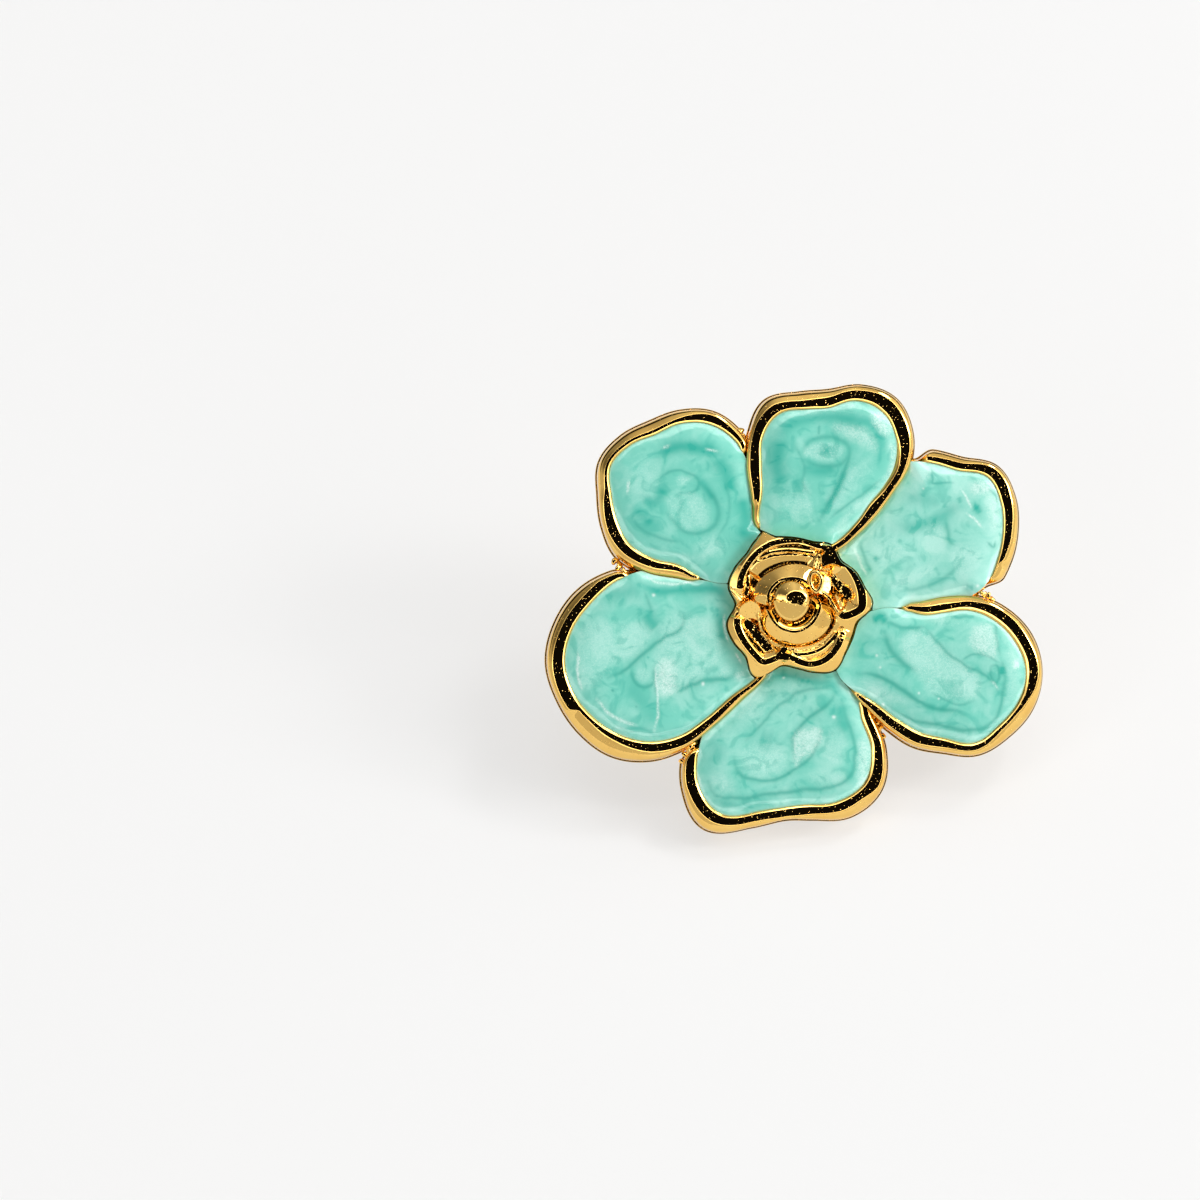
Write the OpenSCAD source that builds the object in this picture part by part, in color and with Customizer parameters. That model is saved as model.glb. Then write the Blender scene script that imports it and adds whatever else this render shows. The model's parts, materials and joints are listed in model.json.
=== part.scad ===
// Flower stud earring: a cast flower of six enamelled petals round a rose, with an
// ear post on its flat back. It lies unworn, leaning back on the lower edge of its
// bottom petal and on the tip of the post.
// Flower plane: u to the right, v up, n out of the face; the lowest rim crests are
// at n = 0. The part's origin is on the post's axis, in the middle of the ear lobe.

/* [Casting] */
// Thickness from the lowest rim crests to the flat back
body_t = 2.4; // [2:0.1:3]
// How far the side wall spreads outwards on its way to the back
wall_flare = 0.22; // [0.1:0.02:0.3]
// Drop from a rim's crest to the enamel's edge
rim_inner_drop = 0.16; // [0.1:0.02:0.3]
// Drop from a rim's crest to its outer edge
rim_outer_drop = 0.4; // [0.2:0.05:0.6]
// Angle over which a rim sinks away at each of its ends
rim_taper = 16; // [8:1:24]

/* [Enamel] */
// Depth of an enamel fill at its edge
enamel_t = 0.9; // [0.6:0.1:1.2]
// How far an enamel fill's middle stands above its edge
dome_h = 0.36; // [0.1:0.02:0.5]
// Gap between two separate pieces
gap = 0.05; // [0.04:0.01:0.08]

/* [Rose] */
// Height of the ball in the rose's heart
ball_top = 2.3; // [1.8:0.1:2.8]
// Radius of the ball in the rose's heart
ball_r = 1.2; // [1:0.05:1.3]
// Height of the rims of the four outer cups
cup_h = 1.25; // [0.9:0.05:1.5]
// Thickness of the two curled inner petals
curl_d = 0.74; // [0.5:0.02:0.9]

/* [Ear post] */
// Diameter of the post
post_d = 0.9; // [0.7:0.05:1.1]
// Length of the post behind the flat back
post_len = 11; // [9.5:0.5:12]
// Diameter of the pad on the post
pad_d = 5; // [3.5:0.5:6]
// Thickness of the pad
pad_t = 0.6; // [0.5:0.1:0.8]
// Post's place to the right of the rose's centre
post_u = 1; // [0:0.25:1.5]
// Post's place above the rose's centre
post_v = 0.5; // [0:0.25:1.5]

/* [Rest] */
// Turn of the flower in its own plane that sets both bumps of the bottom petal down
rest_roll = 6.4; // [6.2:0.1:6.6]
// Thickness of the ear lobe that the post passes through
lobe_t = 4; // [3:0.5:5]

/* [Hidden] */

gold = [0.87, 0.68, 0.28];
enamel_green = [0.5, 0.83, 0.76];

// Columns of a petal's row
NAME = 0;        // its name, which its enamel's name ends with
CENTRE = 1;      // its centre, u and v
LAYER = 2;       // height of its rim crest above the lowest ones
RIM = 3;         // angles between which it has a rim
FRONT = 4;       // rows of the petals that lie over it
EDGE = 5;        // radii of its enamel edge, from +u on, a sixteenth of a turn apart
WIDTH = 6;       // widths of its rim at the same angles
PETALS = [
    ["top", [1.98, 8.41], 0.36, [-85, 222], [],
     [3.89, 4.30, 4.48, 4.19, 3.47, 3.64, 4.33, 4.37, 4.12, 4.42, 5.77, 5.53, 4.81, 3.88, 3.35, 3.46],
     [0.90, 1.02, 1.11, 0.92, 0.98, 1.02, 1.08, 0.78, 0.87, 0.68, 0.12, 0.05, 0.48, 0.60, 0.75, 0.69]],
    ["top_right", [8.29, 4.51], 0, [-50, 106], [0, 2],
     [4.12, 4.32, 4.51, 3.87, 4.00, 4.45, 5.11, 5.71, 6.31, 6.49, 6.25, 5.71, 4.81, 4.57, 4.46, 4.15],
     [0.84, 0.87, 0.81, 0.73, 0.69, 0.60, 0.05, 0.05, 0.05, 0.05, 0.05, 0.05, 0.05, 0.06, 0.54, 0.78]],
    ["right", [8.89, -4.03], 0.2, [-165, 128], [],
     [4.87, 4.59, 4.30, 4.00, 3.59, 3.74, 5.41, 6.61, 6.49, 4.66, 4.04, 3.94, 4.00, 4.62, 4.57, 4.75],
     [0.93, 1.05, 0.96, 0.87, 0.93, 0.78, 0.06, 0.06, 0.06, 0.57, 0.75, 0.83, 0.78, 0.69, 0.87, 0.96]],
    ["bottom", [-0.72, -8.71], 0, [-178, 33], [2, 4],
     [5.20, 4.98, 5.83, 6.01, 6.01, 5.71, 5.11, 4.93, 5.19, 5.62, 5.44, 4.00, 3.46, 3.58, 4.42, 5.17],
     [0.80, 0.63, 0.06, 0.06, 0.06, 0.06, 0.06, 0.06, 0.72, 0.90, 1.26, 0.99, 0.69, 0.90, 1.20, 1.08]],
    ["left", [-8.83, -3.43], 0.12, [104, 372], [5],
     [6.97, 6.91, 6.91, 6.01, 5.59, 5.29, 5.02, 5.07, 5.13, 4.96, 4.78, 4.75, 4.80, 4.78, 4.78, 5.32],
     [0.36, 0.06, 0.06, 0.06, 0.06, 0.51, 0.99, 1.02, 1.02, 0.99, 1.17, 1.29, 1.05, 0.78, 0.63, 0.66]],
    ["top_left", [-7.03, 6.61], 0.2, [26, 284], [0],
     [5.41, 4.57, 4.66, 4.62, 4.30, 3.94, 4.24, 4.52, 4.13, 4.10, 4.24, 4.16, 4.26, 5.71, 6.73, 6.61],
     [0.06, 0.36, 0.54, 0.69, 0.69, 0.77, 0.69, 0.63, 0.71, 0.87, 1.02, 0.90, 0.79, 0.06, 0.06, 0.06]]
];

// Outline of the rose: radii from +u on, a twenty-fourth of a turn apart
ROSE_EDGE = [4.58, 4.24, 4.09, 3.82, 4.21, 3.97, 4.07, 4.29, 4.68, 4.38, 4.41, 4.33,
             3.76, 4.42, 4.48, 4.44, 5.05, 3.85, 3.86, 4.24, 4.58, 4.15, 3.91, 3.85];

// Rings of a section or of the rose, from its edge in: part of the whole width or
// radius, and part of the outer drop or height
PART = 0;
LEVEL = 1;
RIM_SECTION = [[1, 1], [0.78, 0.4], [0.52, 0.06], [0.3, 0], [0.12, 0.06]];
ROSE_RINGS = [[1, -0.14], [0.95, 0], [0.88, 0.3], [0.84, 0.9], [0.79, 1], [0.72, 0.82],
              [0.58, 0.85]];

// Angles at which two outer cups of the rose meet, how far their rims dip there, and
// half the angle that a dip takes up
CUP_VALLEYS = [56, 172, 253, 343];
cup_dip = 0.55;
dip_half = 22;

// The rose's heart: the place of the ball, and the two petals curled round it
heart = [-0.36, 0.06];
TURN = 0;        // first and last angle
REACH = 1;       // distance from the ball's middle at the two ends
CREST = 2;       // height at the two ends
CURLS = [[[198, 18], [2.0, 1.75], [1.35, 1.6]],
         [[188, 372], [1.8, 2.05], [1.3, 1.5]]];
curl_parts = 9;
curl_arch = 0.15;        // how far a curl's middle stands above its ends
curl_foot = 1.5;         // widths of a curl's foot and crest, as parts of its thickness
curl_crest = 0.6;

// Ear post: how far its pad stands out of the back, and its bevelled tip
pad_proud = 0.2;
tip_bevel = 0.35;
tip_d = post_d / 2;

facets = 48;
// Facets round a petal's wall, and how far on they start, in facets: so one corner of
// each lower bump of the bottom petal is the lowest
wall_facets = 42;
wall_turn = 0.72;
back_n = -body_t;
floor_n = -rim_inner_drop - enamel_t - gap;
// Top of a petal's plate where it has no rim, and of the plate under the rose
plate_n = back_n + 0.8;
core_n = back_n + 0.5;
core_r = 5.4;
// Wall that is left, and width of the border that follows the edge, where a petal has
// no rim
no_rim = 0.02;
sunk_width = 0.5;
// Parts of the gap that a tray and its enamel fill give up
tray_share = 0.6;
fill_share = 0.4;
// How far a cut runs past the face that it opens
overrun = 1;

// Smooth closed curve through evenly spaced values, read at one angle
function smooth_at(values, angle) =
    let (n = len(values),
         s = ((angle % 360 + 360) % 360) * n / 360,
         i = floor(s),
         t = s - i,
         a = values[(i + n - 1) % n],
         b = values[i % n],
         c = values[(i + 1) % n],
         d = values[(i + 2) % n])
    b + t * (c - a) / 2 + t * t * (a - 2.5 * b + 2 * c - d / 2)
      + t * t * t * (1.5 * (b - c) + (d - a) / 2);

function ease(x) = let (c = min(1, max(0, x))) c * c * (3 - 2 * c);
function mix(a, b, part) = a + (b - a) * part;
function polar(r, angle) = [r * cos(angle), r * sin(angle)];

// How much of a petal's rim stands at one angle: 1 in full, 0 where it has none
function rim_part(petal, angle) =
    let (from = petal[RIM][0],
         past = ((angle - from) % 360 + 360) % 360,
         left = petal[RIM][1] - from - past)
    left < 0 ? 0 : ease(past / rim_taper) * ease(left / rim_taper);

// A rim keeps its height while its width tapers, and sinks only at its point
taper_hold = 4;
function stands(part) = 1 - pow(1 - part, taper_hold);

function edge_r(petal, angle) = smooth_at(petal[EDGE], angle);
function outer_r(petal, angle) =
    edge_r(petal, angle)
    + max(no_rim, smooth_at(petal[WIDTH], angle) * rim_part(petal, angle));
function rose_r(angle) = smooth_at(ROSE_EDGE, angle);

function inside_petal(petal, p) =
    let (d = p - petal[CENTRE]) norm(d) < outer_r(petal, atan2(d[1], d[0])) + gap;
function inside_rose(p) = norm(p) < rose_r(atan2(p[1], p[0]));
function covered(petal, p) =
    inside_rose(p) || max([for (i = concat(petal[FRONT], [-1]))
                           i >= 0 && inside_petal(PETALS[i], p) ? 1 : 0]) == 1;

// Radius at which an enamel fill ends: its own edge, or what lies over the petal
halvings = 11;
function fill_r(petal, angle, low = 0, high = -1, step = 0) =
    let (top = high < 0 ? edge_r(petal, angle) : high,
         middle = step == 0 ? top : (low + top) / 2,
         hit = covered(petal, petal[CENTRE] + polar(middle, angle)))
    step == 0 && !hit ? top
    : step == halvings ? low
    : fill_r(petal, angle, hit ? low : middle, hit ? middle : top, step + 1);

function ring_angles(count = facets, turn = 0) =
    [for (k = [0 : count - 1]) (k + turn) * 360 / count];
function wall_angles() = ring_angles(wall_facets, wall_turn);
function lift(points, n) = [for (p = points) [p[0], p[1], n]];

// Closed solid through rings of points, each round the same centre, closed by a
// fan at the first and at the last ring; the rings run from the back to the face
module ring_solid(rings, first_middle, last_middle) {
    n = len(rings[0]);
    m = len(rings);
    points = concat([for (ring = rings) each ring], [first_middle, last_middle]);
    sides = [for (j = [0 : m - 2], i = [0 : n - 1])
             let (a = j * n + i, b = j * n + (i + 1) % n)
             each [[a, b + n, b], [a, a + n, b + n]]];
    start = [for (i = [0 : n - 1]) [i, (i + 1) % n, m * n]];
    end = [for (i = [0 : n - 1]) [(m - 1) * n + i, m * n + 1, (m - 1) * n + (i + 1) % n]];
    polyhedron(points, concat(sides, start, end));
}

// Body of one petal: flared wall, rim, and a tray that the enamel's pocket deepens
module petal_body(petal) {
    c = petal[CENTRE];
    layer = petal[LAYER];
    at = wall_angles();
    outer = [for (a = at) outer_r(petal, a)];
    part = [for (a = at) rim_part(petal, a)];
    width = [for (k = [0 : wall_facets - 1])
             mix(sunk_width, outer[k] - edge_r(petal, at[k]), part[k])];
    function level(k, drop) = mix(plate_n + layer / 2, layer - drop, stands(part[k]));
    function ring_point(k, r, n) = concat(c + polar(r, at[k]), [n]);
    ring_solid(concat(
        [[for (k = [0 : wall_facets - 1]) ring_point(k, outer[k] + wall_flare, back_n)]],
        [for (row = RIM_SECTION) [for (k = [0 : wall_facets - 1])
            ring_point(k, outer[k] - width[k] * (1 - row[PART]),
                       level(k, row[LEVEL] * rim_outer_drop))]],
        [[for (k = [0 : wall_facets - 1])
            ring_point(k, outer[k] - width[k], level(k, rim_inner_drop))]]),
        [c[0], c[1], back_n], [c[0], c[1], layer - rim_inner_drop]);
}

// Space of one enamel fill: its outline from its floor up to a given height
module pocket(petal) {
    c = petal[CENTRE];
    outline = [for (a = ring_angles()) c + polar(fill_r(petal, a) + tray_share * gap, a)];
    low = petal[LAYER] + floor_n;
    high = ball_top + overrun;
    ring_solid([lift(outline, low), lift(outline, high)],
               [c[0], c[1], low], [c[0], c[1], high]);
}

// Enamel fill of one petal: flat below, domed above, steepest along its edge
DOME_RINGS = [1, 0.95, 0.86, 0.68, 0.38];
dome_power = 3.2;
module enamel(petal) {
    c = petal[CENTRE];
    at = ring_angles();
    r = [for (a = at) fill_r(petal, a) - fill_share * gap];
    low = petal[LAYER] + floor_n + gap;
    edge_n = petal[LAYER] - rim_inner_drop;
    color(enamel_green)
    ring_solid(concat(
        [[for (k = [0 : facets - 1]) concat(c + polar(r[k], at[k]), [low])]],
        [for (f = DOME_RINGS) [for (k = [0 : facets - 1])
            concat(c + polar(r[k] * f, at[k]), [edge_n + dome_h * (1 - pow(f, dome_power))])]]),
        [c[0], c[1], low], [c[0], c[1], edge_n + dome_h]);
}

// Skirt and outer cups of the rose
function wrapped(a) = (a + 540) % 360 - 180;
function cup_part(angle) =
    1 - cup_dip * max([for (v = CUP_VALLEYS) ease(1 - abs(wrapped(angle - v)) / dip_half)]);
module rose_cups() {
    at = ring_angles();
    rings = [for (row = ROSE_RINGS) [for (a = at)
        concat(polar(rose_r(a) * row[PART], a),
               [row[LEVEL] <= 0 ? row[LEVEL] : row[LEVEL] * cup_h * cup_part(a)])]];
    low = (core_n + back_n) / 2;
    ring_solid(concat([lift(rings[0], low)], rings), [0, 0, low], [0, 0, cup_h]);
}

// One inner petal, curled round the ball
module curl(row) {
    function between(column, t) = mix(row[column][0], row[column][1], t);
    function spot(i) =
        let (t = i / curl_parts)
        concat(heart + polar(between(REACH, t), between(TURN, t)),
               [between(CREST, t) + curl_arch * sin(180 * t) - curl_d / 2]);
    for (i = [0 : curl_parts - 1])
        hull() for (j = [i, i + 1])
            translate(spot(j))
                cylinder(h = curl_d, d1 = curl_foot * curl_d, d2 = curl_crest * curl_d, $fn = 10);
}

module rose() {
    rose_cups();
    for (row = CURLS) curl(row);
    translate([heart[0], heart[1], 0]) {
        cylinder(h = ball_top - ball_r, r = ball_r, $fn = 24);
        translate([0, 0, ball_top - ball_r]) sphere(ball_r, $fn = 24);
    }
}

module flower_casting() {
    color(gold)
    difference() {
        union() {
            for (petal = PETALS) petal_body(petal);
            translate([0, 0, back_n]) cylinder(h = core_n - back_n, r = core_r, $fn = facets);
            rose();
        }
        for (petal = PETALS) pocket(petal);
        translate([post_u, post_v, back_n - overrun])
            cylinder(h = pad_t - pad_proud + gap + overrun, d = pad_d + 2 * gap, $fn = facets);
    }
}

// Ear post: a plain round post on a round pad, whose far side sits in the back
module ear_post() {
    straight_l = post_len - tip_bevel - pad_proud / 2;
    color(gold)
    translate([post_u, post_v, back_n]) {
        translate([0, 0, -pad_proud]) cylinder(h = pad_t, d = pad_d, $fn = 64);
        translate([0, 0, tip_bevel - post_len]) cylinder(h = straight_l, d = post_d, $fn = 32);
        translate([0, 0, -post_len]) cylinder(h = tip_bevel, d1 = tip_d, d2 = post_d, $fn = 32);
    }
}

// Lean of the flower at rest, on its lowest back edge and the post's tip
function rolled_v(p) = p[1] * cos(rest_roll) - p[0] * sin(rest_roll);
bottom = PETALS[3];
low_v = min([for (a = wall_angles())
             rolled_v(bottom[CENTRE] + polar(outer_r(bottom, a) + wall_flare, a))]);
lean = atan2(post_len, rolled_v([post_u, post_v]) - tip_d / 2 - low_v);
module at_rest() {
    rotate([lean, 0, 0]) rotate([0, 0, -rest_roll])
        translate([-post_u, -post_v, -back_n + lobe_t / 2]) children();
}

at_rest() flower_casting();
for (petal = PETALS)
    at_rest() enamel(petal);
at_rest() ear_post();
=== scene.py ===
"""Looks of the flower stud earring: gold-coloured casting, marbled enamel and ear post,
lying on a pale floor. Lengths are in mm in the flower plane (u right, v up, n out of the
face, from the rose's middle) until a piece is put in the row's frame."""

import json
import math

import bpy
import numpy as np
from mathutils import Matrix, Vector


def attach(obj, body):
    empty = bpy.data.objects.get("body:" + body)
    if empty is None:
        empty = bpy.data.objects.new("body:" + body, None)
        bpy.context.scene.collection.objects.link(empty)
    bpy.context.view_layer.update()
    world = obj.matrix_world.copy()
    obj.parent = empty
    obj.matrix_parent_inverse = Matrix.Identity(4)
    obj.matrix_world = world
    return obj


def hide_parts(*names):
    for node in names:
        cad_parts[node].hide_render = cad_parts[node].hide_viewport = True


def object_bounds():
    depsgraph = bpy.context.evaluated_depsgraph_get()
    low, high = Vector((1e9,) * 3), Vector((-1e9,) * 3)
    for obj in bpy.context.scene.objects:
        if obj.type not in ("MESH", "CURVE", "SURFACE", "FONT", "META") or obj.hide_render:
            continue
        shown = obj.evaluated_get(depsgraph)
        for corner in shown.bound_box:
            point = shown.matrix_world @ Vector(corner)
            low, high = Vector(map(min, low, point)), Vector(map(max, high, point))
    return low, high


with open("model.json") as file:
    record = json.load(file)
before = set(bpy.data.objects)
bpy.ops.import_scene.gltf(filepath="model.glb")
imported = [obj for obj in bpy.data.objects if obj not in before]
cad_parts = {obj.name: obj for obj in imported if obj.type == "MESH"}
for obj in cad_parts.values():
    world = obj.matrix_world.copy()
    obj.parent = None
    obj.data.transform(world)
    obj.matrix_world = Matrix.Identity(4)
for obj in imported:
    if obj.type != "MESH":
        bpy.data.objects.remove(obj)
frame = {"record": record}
cad_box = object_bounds()

MM = 0.001

# Where the rose's middle is in the photo, and how much a photo pixel measures
PHOTO_ROSE = (797.0, 605.0)
PHOTO_MM = 0.0601
PHOTO_SIDE = 1200

# Casting and enamel. Where a rim has ended, the petal's edge is sunk to the tray's plate.
body_t = 2.4
rim_inner_drop = 0.16
rim_taper = 16.0
taper_hold = 4
enamel_t = 0.9
dome_h = 0.36
dome_reach = 2.2
dome_power = 2.4
# Waves of the dome: height, length and the noise's seed, and how far in they are full
SWELLS = ((0.03, 2.2, 31), (0.012, 0.8, 32))
swell_from = 0.8
gap = 0.05
seen_gap = 0.006
no_rim = 0.004
sunk_width = 0.5
last_step = 0.004
foot_in = 0.02
foot_up = 0.03
dip_inside = 0.08
at_own_rim = 0.05
at_front_rim = 0.08

# Ear post
post_d = 0.9
post_len = 11.0
pad_d = 5.0
pad_t = 0.6
pad_proud = 0.2
tip_bevel = 0.35
post_u = 1.0
post_v = 0.5
lobe_t = 4.0
rest_roll = math.radians(6.4)

back_n = -body_t
floor_n = -rim_inner_drop - enamel_t - gap
plate_n = back_n + 0.8
core_n = back_n + 0.5
core_r = 5.4
pocket_top = 3.5

# Each petal: centre, height of its rim above the lowest ones, angles between which it
# has a rim, petals that lie over it, radii of its enamel edge and widths of its rim. At
# some angles it says how many photo pixels the level crest measures, which shows dark,
# and where they vary also the inner bevel and the facet over it.
PETALS = {
    "top": dict(
        centre=(1.98, 8.41), layer=0.36, rim=(-104, 230), front=(),
        edge=(3.89, 4.30, 4.48, 4.19, 3.47, 3.64, 4.33, 4.37,
              4.12, 4.42, 5.77, 5.53, 4.81, 3.88, 3.35, 3.46),
        width=(0.90, 1.02, 1.11, 0.92, 0.98, 1.02, 1.08, 0.78,
               0.87, 0.68, 0.24, 0.05, 0.48, 0.60, 0.75, 0.69),
        dark=((-104, 2), (-90, 4), (-67, 4), (-45, 6.5), (-25, 7.8), (-8, 4.6), (2, 5), (12, 8), (22, 9.5),
              (45, 10), (67, 7.4), (80, 8), (90, 6.9), (112, 5.7), (135, 7.5), (157, 7.5), (180, 8.8),
              (197, 9), (204, 6), (208, 0), (230, 0)),
        inner=((-45, 0.5), (-22, 2.0), (-12, 2.5), (0, 3.4), (12, 2.5), (24, 0.8), (55, 1.5), (70, 0.6),
               (180, 0.6))),
    "top_right": dict(
        centre=(8.29, 4.51), layer=0.0, rim=(-50, 106), front=("top", "right"),
        edge=(4.12, 4.32, 4.51, 3.87, 4.00, 4.45, 5.11, 5.71,
              6.31, 6.49, 6.25, 5.71, 4.81, 4.57, 4.46, 4.15),
        width=(0.84, 0.87, 0.81, 0.73, 0.69, 0.60, 0.05, 0.05,
               0.05, 0.05, 0.05, 0.05, 0.05, 0.06, 0.54, 0.78),
        dark=((-50, 0), (-28, 0), (-24, 2), (-10, 4.6), (0, 5.2), (22, 6.9), (35, 8), (45, 8), (67, 4.6),
              (90, 2.9), (106, 2))),
    "right": dict(
        centre=(8.89, -4.03), layer=0.2, rim=(-176, 131), front=(),
        edge=(4.87, 4.59, 4.30, 4.00, 3.59, 3.74, 5.41, 6.61,
              6.49, 4.66, 4.04, 3.94, 4.00, 4.62, 4.57, 4.75),
        width=(0.93, 1.05, 0.96, 0.87, 0.93, 0.78, 0.06, 0.06,
               0.06, 0.57, 0.75, 0.83, 0.78, 0.69, 0.87, 0.96),
        dark=((-176, 1), (-168, 4), (-158, 6), (-135, 6.4), (-112, 7), (-90, 5.2), (-67, 3.2), (-45, 1.3),
              (-32, 1.3), (-22, 2.6), (-10, 5.5), (0, 7), (22, 7), (45, 8.3), (67, 4.6), (80, 4),
              (90, 4.6), (112, 4.5), (122, 2.5), (128, 0.5)),
        inner=((-165, 0.6), (90, 0.8), (112, 1.6), (128, 1.6)),
        facet=((-165, 1.4), (-30, 1.6), (-12, 3.2), (50, 3.2), (75, 2.6), (95, 1.4))),
    "bottom": dict(
        centre=(-0.72, -8.71), layer=0.0, rim=(-188, 42), front=("right", "left"),
        edge=(5.20, 4.98, 5.83, 6.01, 6.01, 5.71, 5.11, 4.93,
              5.19, 5.62, 5.44, 4.00, 3.46, 3.58, 4.42, 5.17),
        width=(0.80, 0.63, 0.06, 0.06, 0.06, 0.06, 0.06, 0.06,
               0.72, 0.90, 1.26, 0.99, 0.69, 0.90, 1.20, 1.08),
        dark=((-188, 2), (-181, 6), (-173, 9), (-157, 7.7), (-135, 8), (-120, 8.4), (-105, 6.2),
              (-90, 5.9), (-67, 6.3), (-45, 7.6), (-33, 6.5), (-22, 9.8), (-10, 9), (0, 9), (22, 5.6),
              (34, 4), (42, 1)),
        facet=((-178, 1.4), (-30, 1.5), (-15, 3.0), (33, 2.6))),
    "left": dict(
        centre=(-8.83, -3.43), layer=0.12, rim=(97, 372), front=("top_left",),
        edge=(6.97, 6.91, 6.91, 6.01, 5.59, 5.29, 5.02, 5.07,
              5.13, 4.96, 4.78, 4.75, 4.80, 4.78, 4.78, 5.32),
        width=(0.36, 0.06, 0.06, 0.06, 0.06, 0.51, 0.99, 1.02,
               1.02, 0.99, 1.17, 1.29, 1.05, 0.78, 0.63, 0.66),
        dark=((97, 3), (105, 6), (135, 6.7), (157, 7.2), (180, 8.5), (202, 9.3), (211, 9), (214, 1.6),
              (225, 1.5), (247, 3.5), (270, 6.2), (292, 6.5), (315, 4.5), (337, 3.3), (360, 2.5),
              (372, 1))),
    "top_left": dict(
        centre=(-7.03, 6.61), layer=0.2, rim=(26, 291), front=("top",),
        edge=(5.41, 4.57, 4.66, 4.62, 4.30, 3.94, 4.24, 4.52,
              4.13, 4.10, 4.24, 4.16, 4.26, 5.71, 6.73, 6.61),
        width=(0.06, 0.36, 0.54, 0.69, 0.69, 0.77, 0.69, 0.63,
               0.71, 0.87, 1.02, 0.90, 0.79, 0.06, 0.06, 0.06),
        dark=((26, 0.5), (40, 2), (50, 3), (60, 4.6), (68, 6.2), (80, 4.4), (88, 2.5), (95, 1.3),
              (150, 1.2), (168, 1), (175, 2), (184, 4.8), (207, 8.6), (225, 7), (247, 5), (270, 2.5),
              (284, 1))),
}

# Outline of the rose: radii from +u on, a twenty-fourth of a turn apart
ROSE_EDGE = (4.58, 4.24, 4.09, 3.82, 4.21, 3.97, 4.07, 4.29, 4.68, 4.38, 4.41, 4.33,
             3.76, 4.42, 4.48, 4.44, 5.05, 3.85, 3.86, 4.24, 4.58, 4.15, 3.91, 3.85)

rose_spike_at = 115.0
rose_spike_half = 8.0
rose_spike = 0.36
rose_spike_power = 1.5

# Section of a rim from its enamel edge out, as slopes in degrees along four strips: inner
# bevel (0 to 1), its upper facet (to 2), level crest (to 3) and outer fall (to 4)
RIM_SLOPES = ((0.0, -62), (0.3, -45), (0.7, -34), (1.0, -27), (1.15, -21.5), (1.5, -20.5), (1.9, -19.5),
              (2.03, -13), (2.1, -9), (2.3, -4), (2.5, 0), (2.7, 4), (2.9, 9), (2.97, 13), (3.03, 22),
              (3.15, 24), (3.3, 27), (3.42, 29), (3.52, 32), (3.61, 37), (3.67, 43), (3.71, 47.5),
              (3.81, 51), (3.92, 56), (3.96, 62), (4.0, 69))
# Pixel widths where a petal's row doesn't say
PLAIN_STRIPS = {"inner": ((0, 0.6), (360, 0.6)), "facet": ((0, 1.4), (360, 1.4))}
# Width from which a rim has its full bevels, and what its crest takes of it
full_rim = 0.5
crest_share = 0.8
least_crest = 0.01
# Slopes up to here follow the screen's edge, and steeper ones less and less
follow_till = 50
follow_fade = 22
rim_fall = 0.55
dark_spread = 1.6
least_fall = 22.0
screen_slope = 17.5

# Wall of a petal from its foot up: distance beyond the rim's edge, and height over the back
FOOT = ((0.12, 0.0), (0.18, 0.015), (0.21, 0.05), (0.22, 0.1), (0.215, 0.17), (0.19, 0.25), (0.185, 0.26),
        (0.125, 0.266), (0.115, 0.29), (0.1, 0.6))

# Top of the wall: distance beyond the rim's edge, and depth below it
SHOULDER = ((0.05, 0.16), (0.03, 0.08), (0.014, 0.035))

# Dark screen round the camera: where its middle is and how far it reaches, in degrees
SCREEN_MIDDLE = (3.0, 2.0)
SCREEN_HALF = (42.0, 33.0)

# Brightness of the room from left (0) to right (1), above the middle
SKY = ((0.0, 0.5), (1.0, 0.75), (0.1, 0.25), (0.24, 0.3), (0.36, 0.62), (0.48, 0.85), (0.6, 0.62),
       (0.72, 0.68), (0.86, 0.95))
sky_rest = 0.66
sky_gain = 1.285
ROOM_COLOUR = (1.0, 0.985, 0.96, 1)
FLOOR_COLOUR = (0.27, 0.27, 0.27, 1)
floor_glow = 0.62

# Camera, lights and floor, in metres, and the camera's sensor in mm
camera_away = 0.45
light_away = 0.6
floor_half = 4.0
sensor = 36.0

# How finely the shapes are divided, and the halvings that find a radius or a slope
around = 240
first_turn = 0.3
dome_around = 360
dome_rings = 104
ring_crowding = 1.12
edge_step = 3
edge_fade = 5
rose_around = 380
rose_rings = 114
disc_around = 96
fill_halvings = 22
rim_halvings = 12

# Ledge round the foot of the rose, widest at one angle
ledge_w = 0.04
ledge_wide = 0.07
ledge_wide_at = -27.0
ledge_n = 0.012
ledge_turn = 16.0
ledge_slope = 0.1
rose_foot_n = -0.14
rose_steep = 16.0
LEDGE_STEPS = (0, ledge_n, 0.02, 0.045, 0.06, 0.085, 0.11)
rose_inner = 0.14

# Noise: where its lattice lies, and what three octaves add up to
NOISE_SHIFT = (101.3, 57.7)
octave_sum = 1.75
# Longer than any distance on the part, and shorter than any
FAR = 1e9
TINY = 1e-9

# The two ends of the gold's colour, and the enamel's colours
GOLD = (0.90, 0.59, 0.17, 1)
GOLD_DEEP = (0.80, 0.45, 0.10, 1)
ENAMEL_PALE = (0.41, 0.77, 0.68, 1)
ENAMEL_MID = (0.18, 0.62, 0.51, 1)
ENAMEL_DEEP = (0.035, 0.42, 0.335, 1)
ENAMEL_VEIN = (0.05, 0.38, 0.30, 1)
# Pearly white, which also paints highlights and sheen on the enamel
ENAMEL_PEARL_AND_HIGHLIGHT = (0.72, 0.90, 0.85, 1)
ENAMEL_RIM = (0.42, 0.56, 0.30, 1)
WHITE = (1, 1, 1, 1)

# Sockets of a node that blends two colours
MIX_PART, MIX_A, MIX_B, MIX_RESULT = 0, 6, 7, 2


# Curves and shapes

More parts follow.
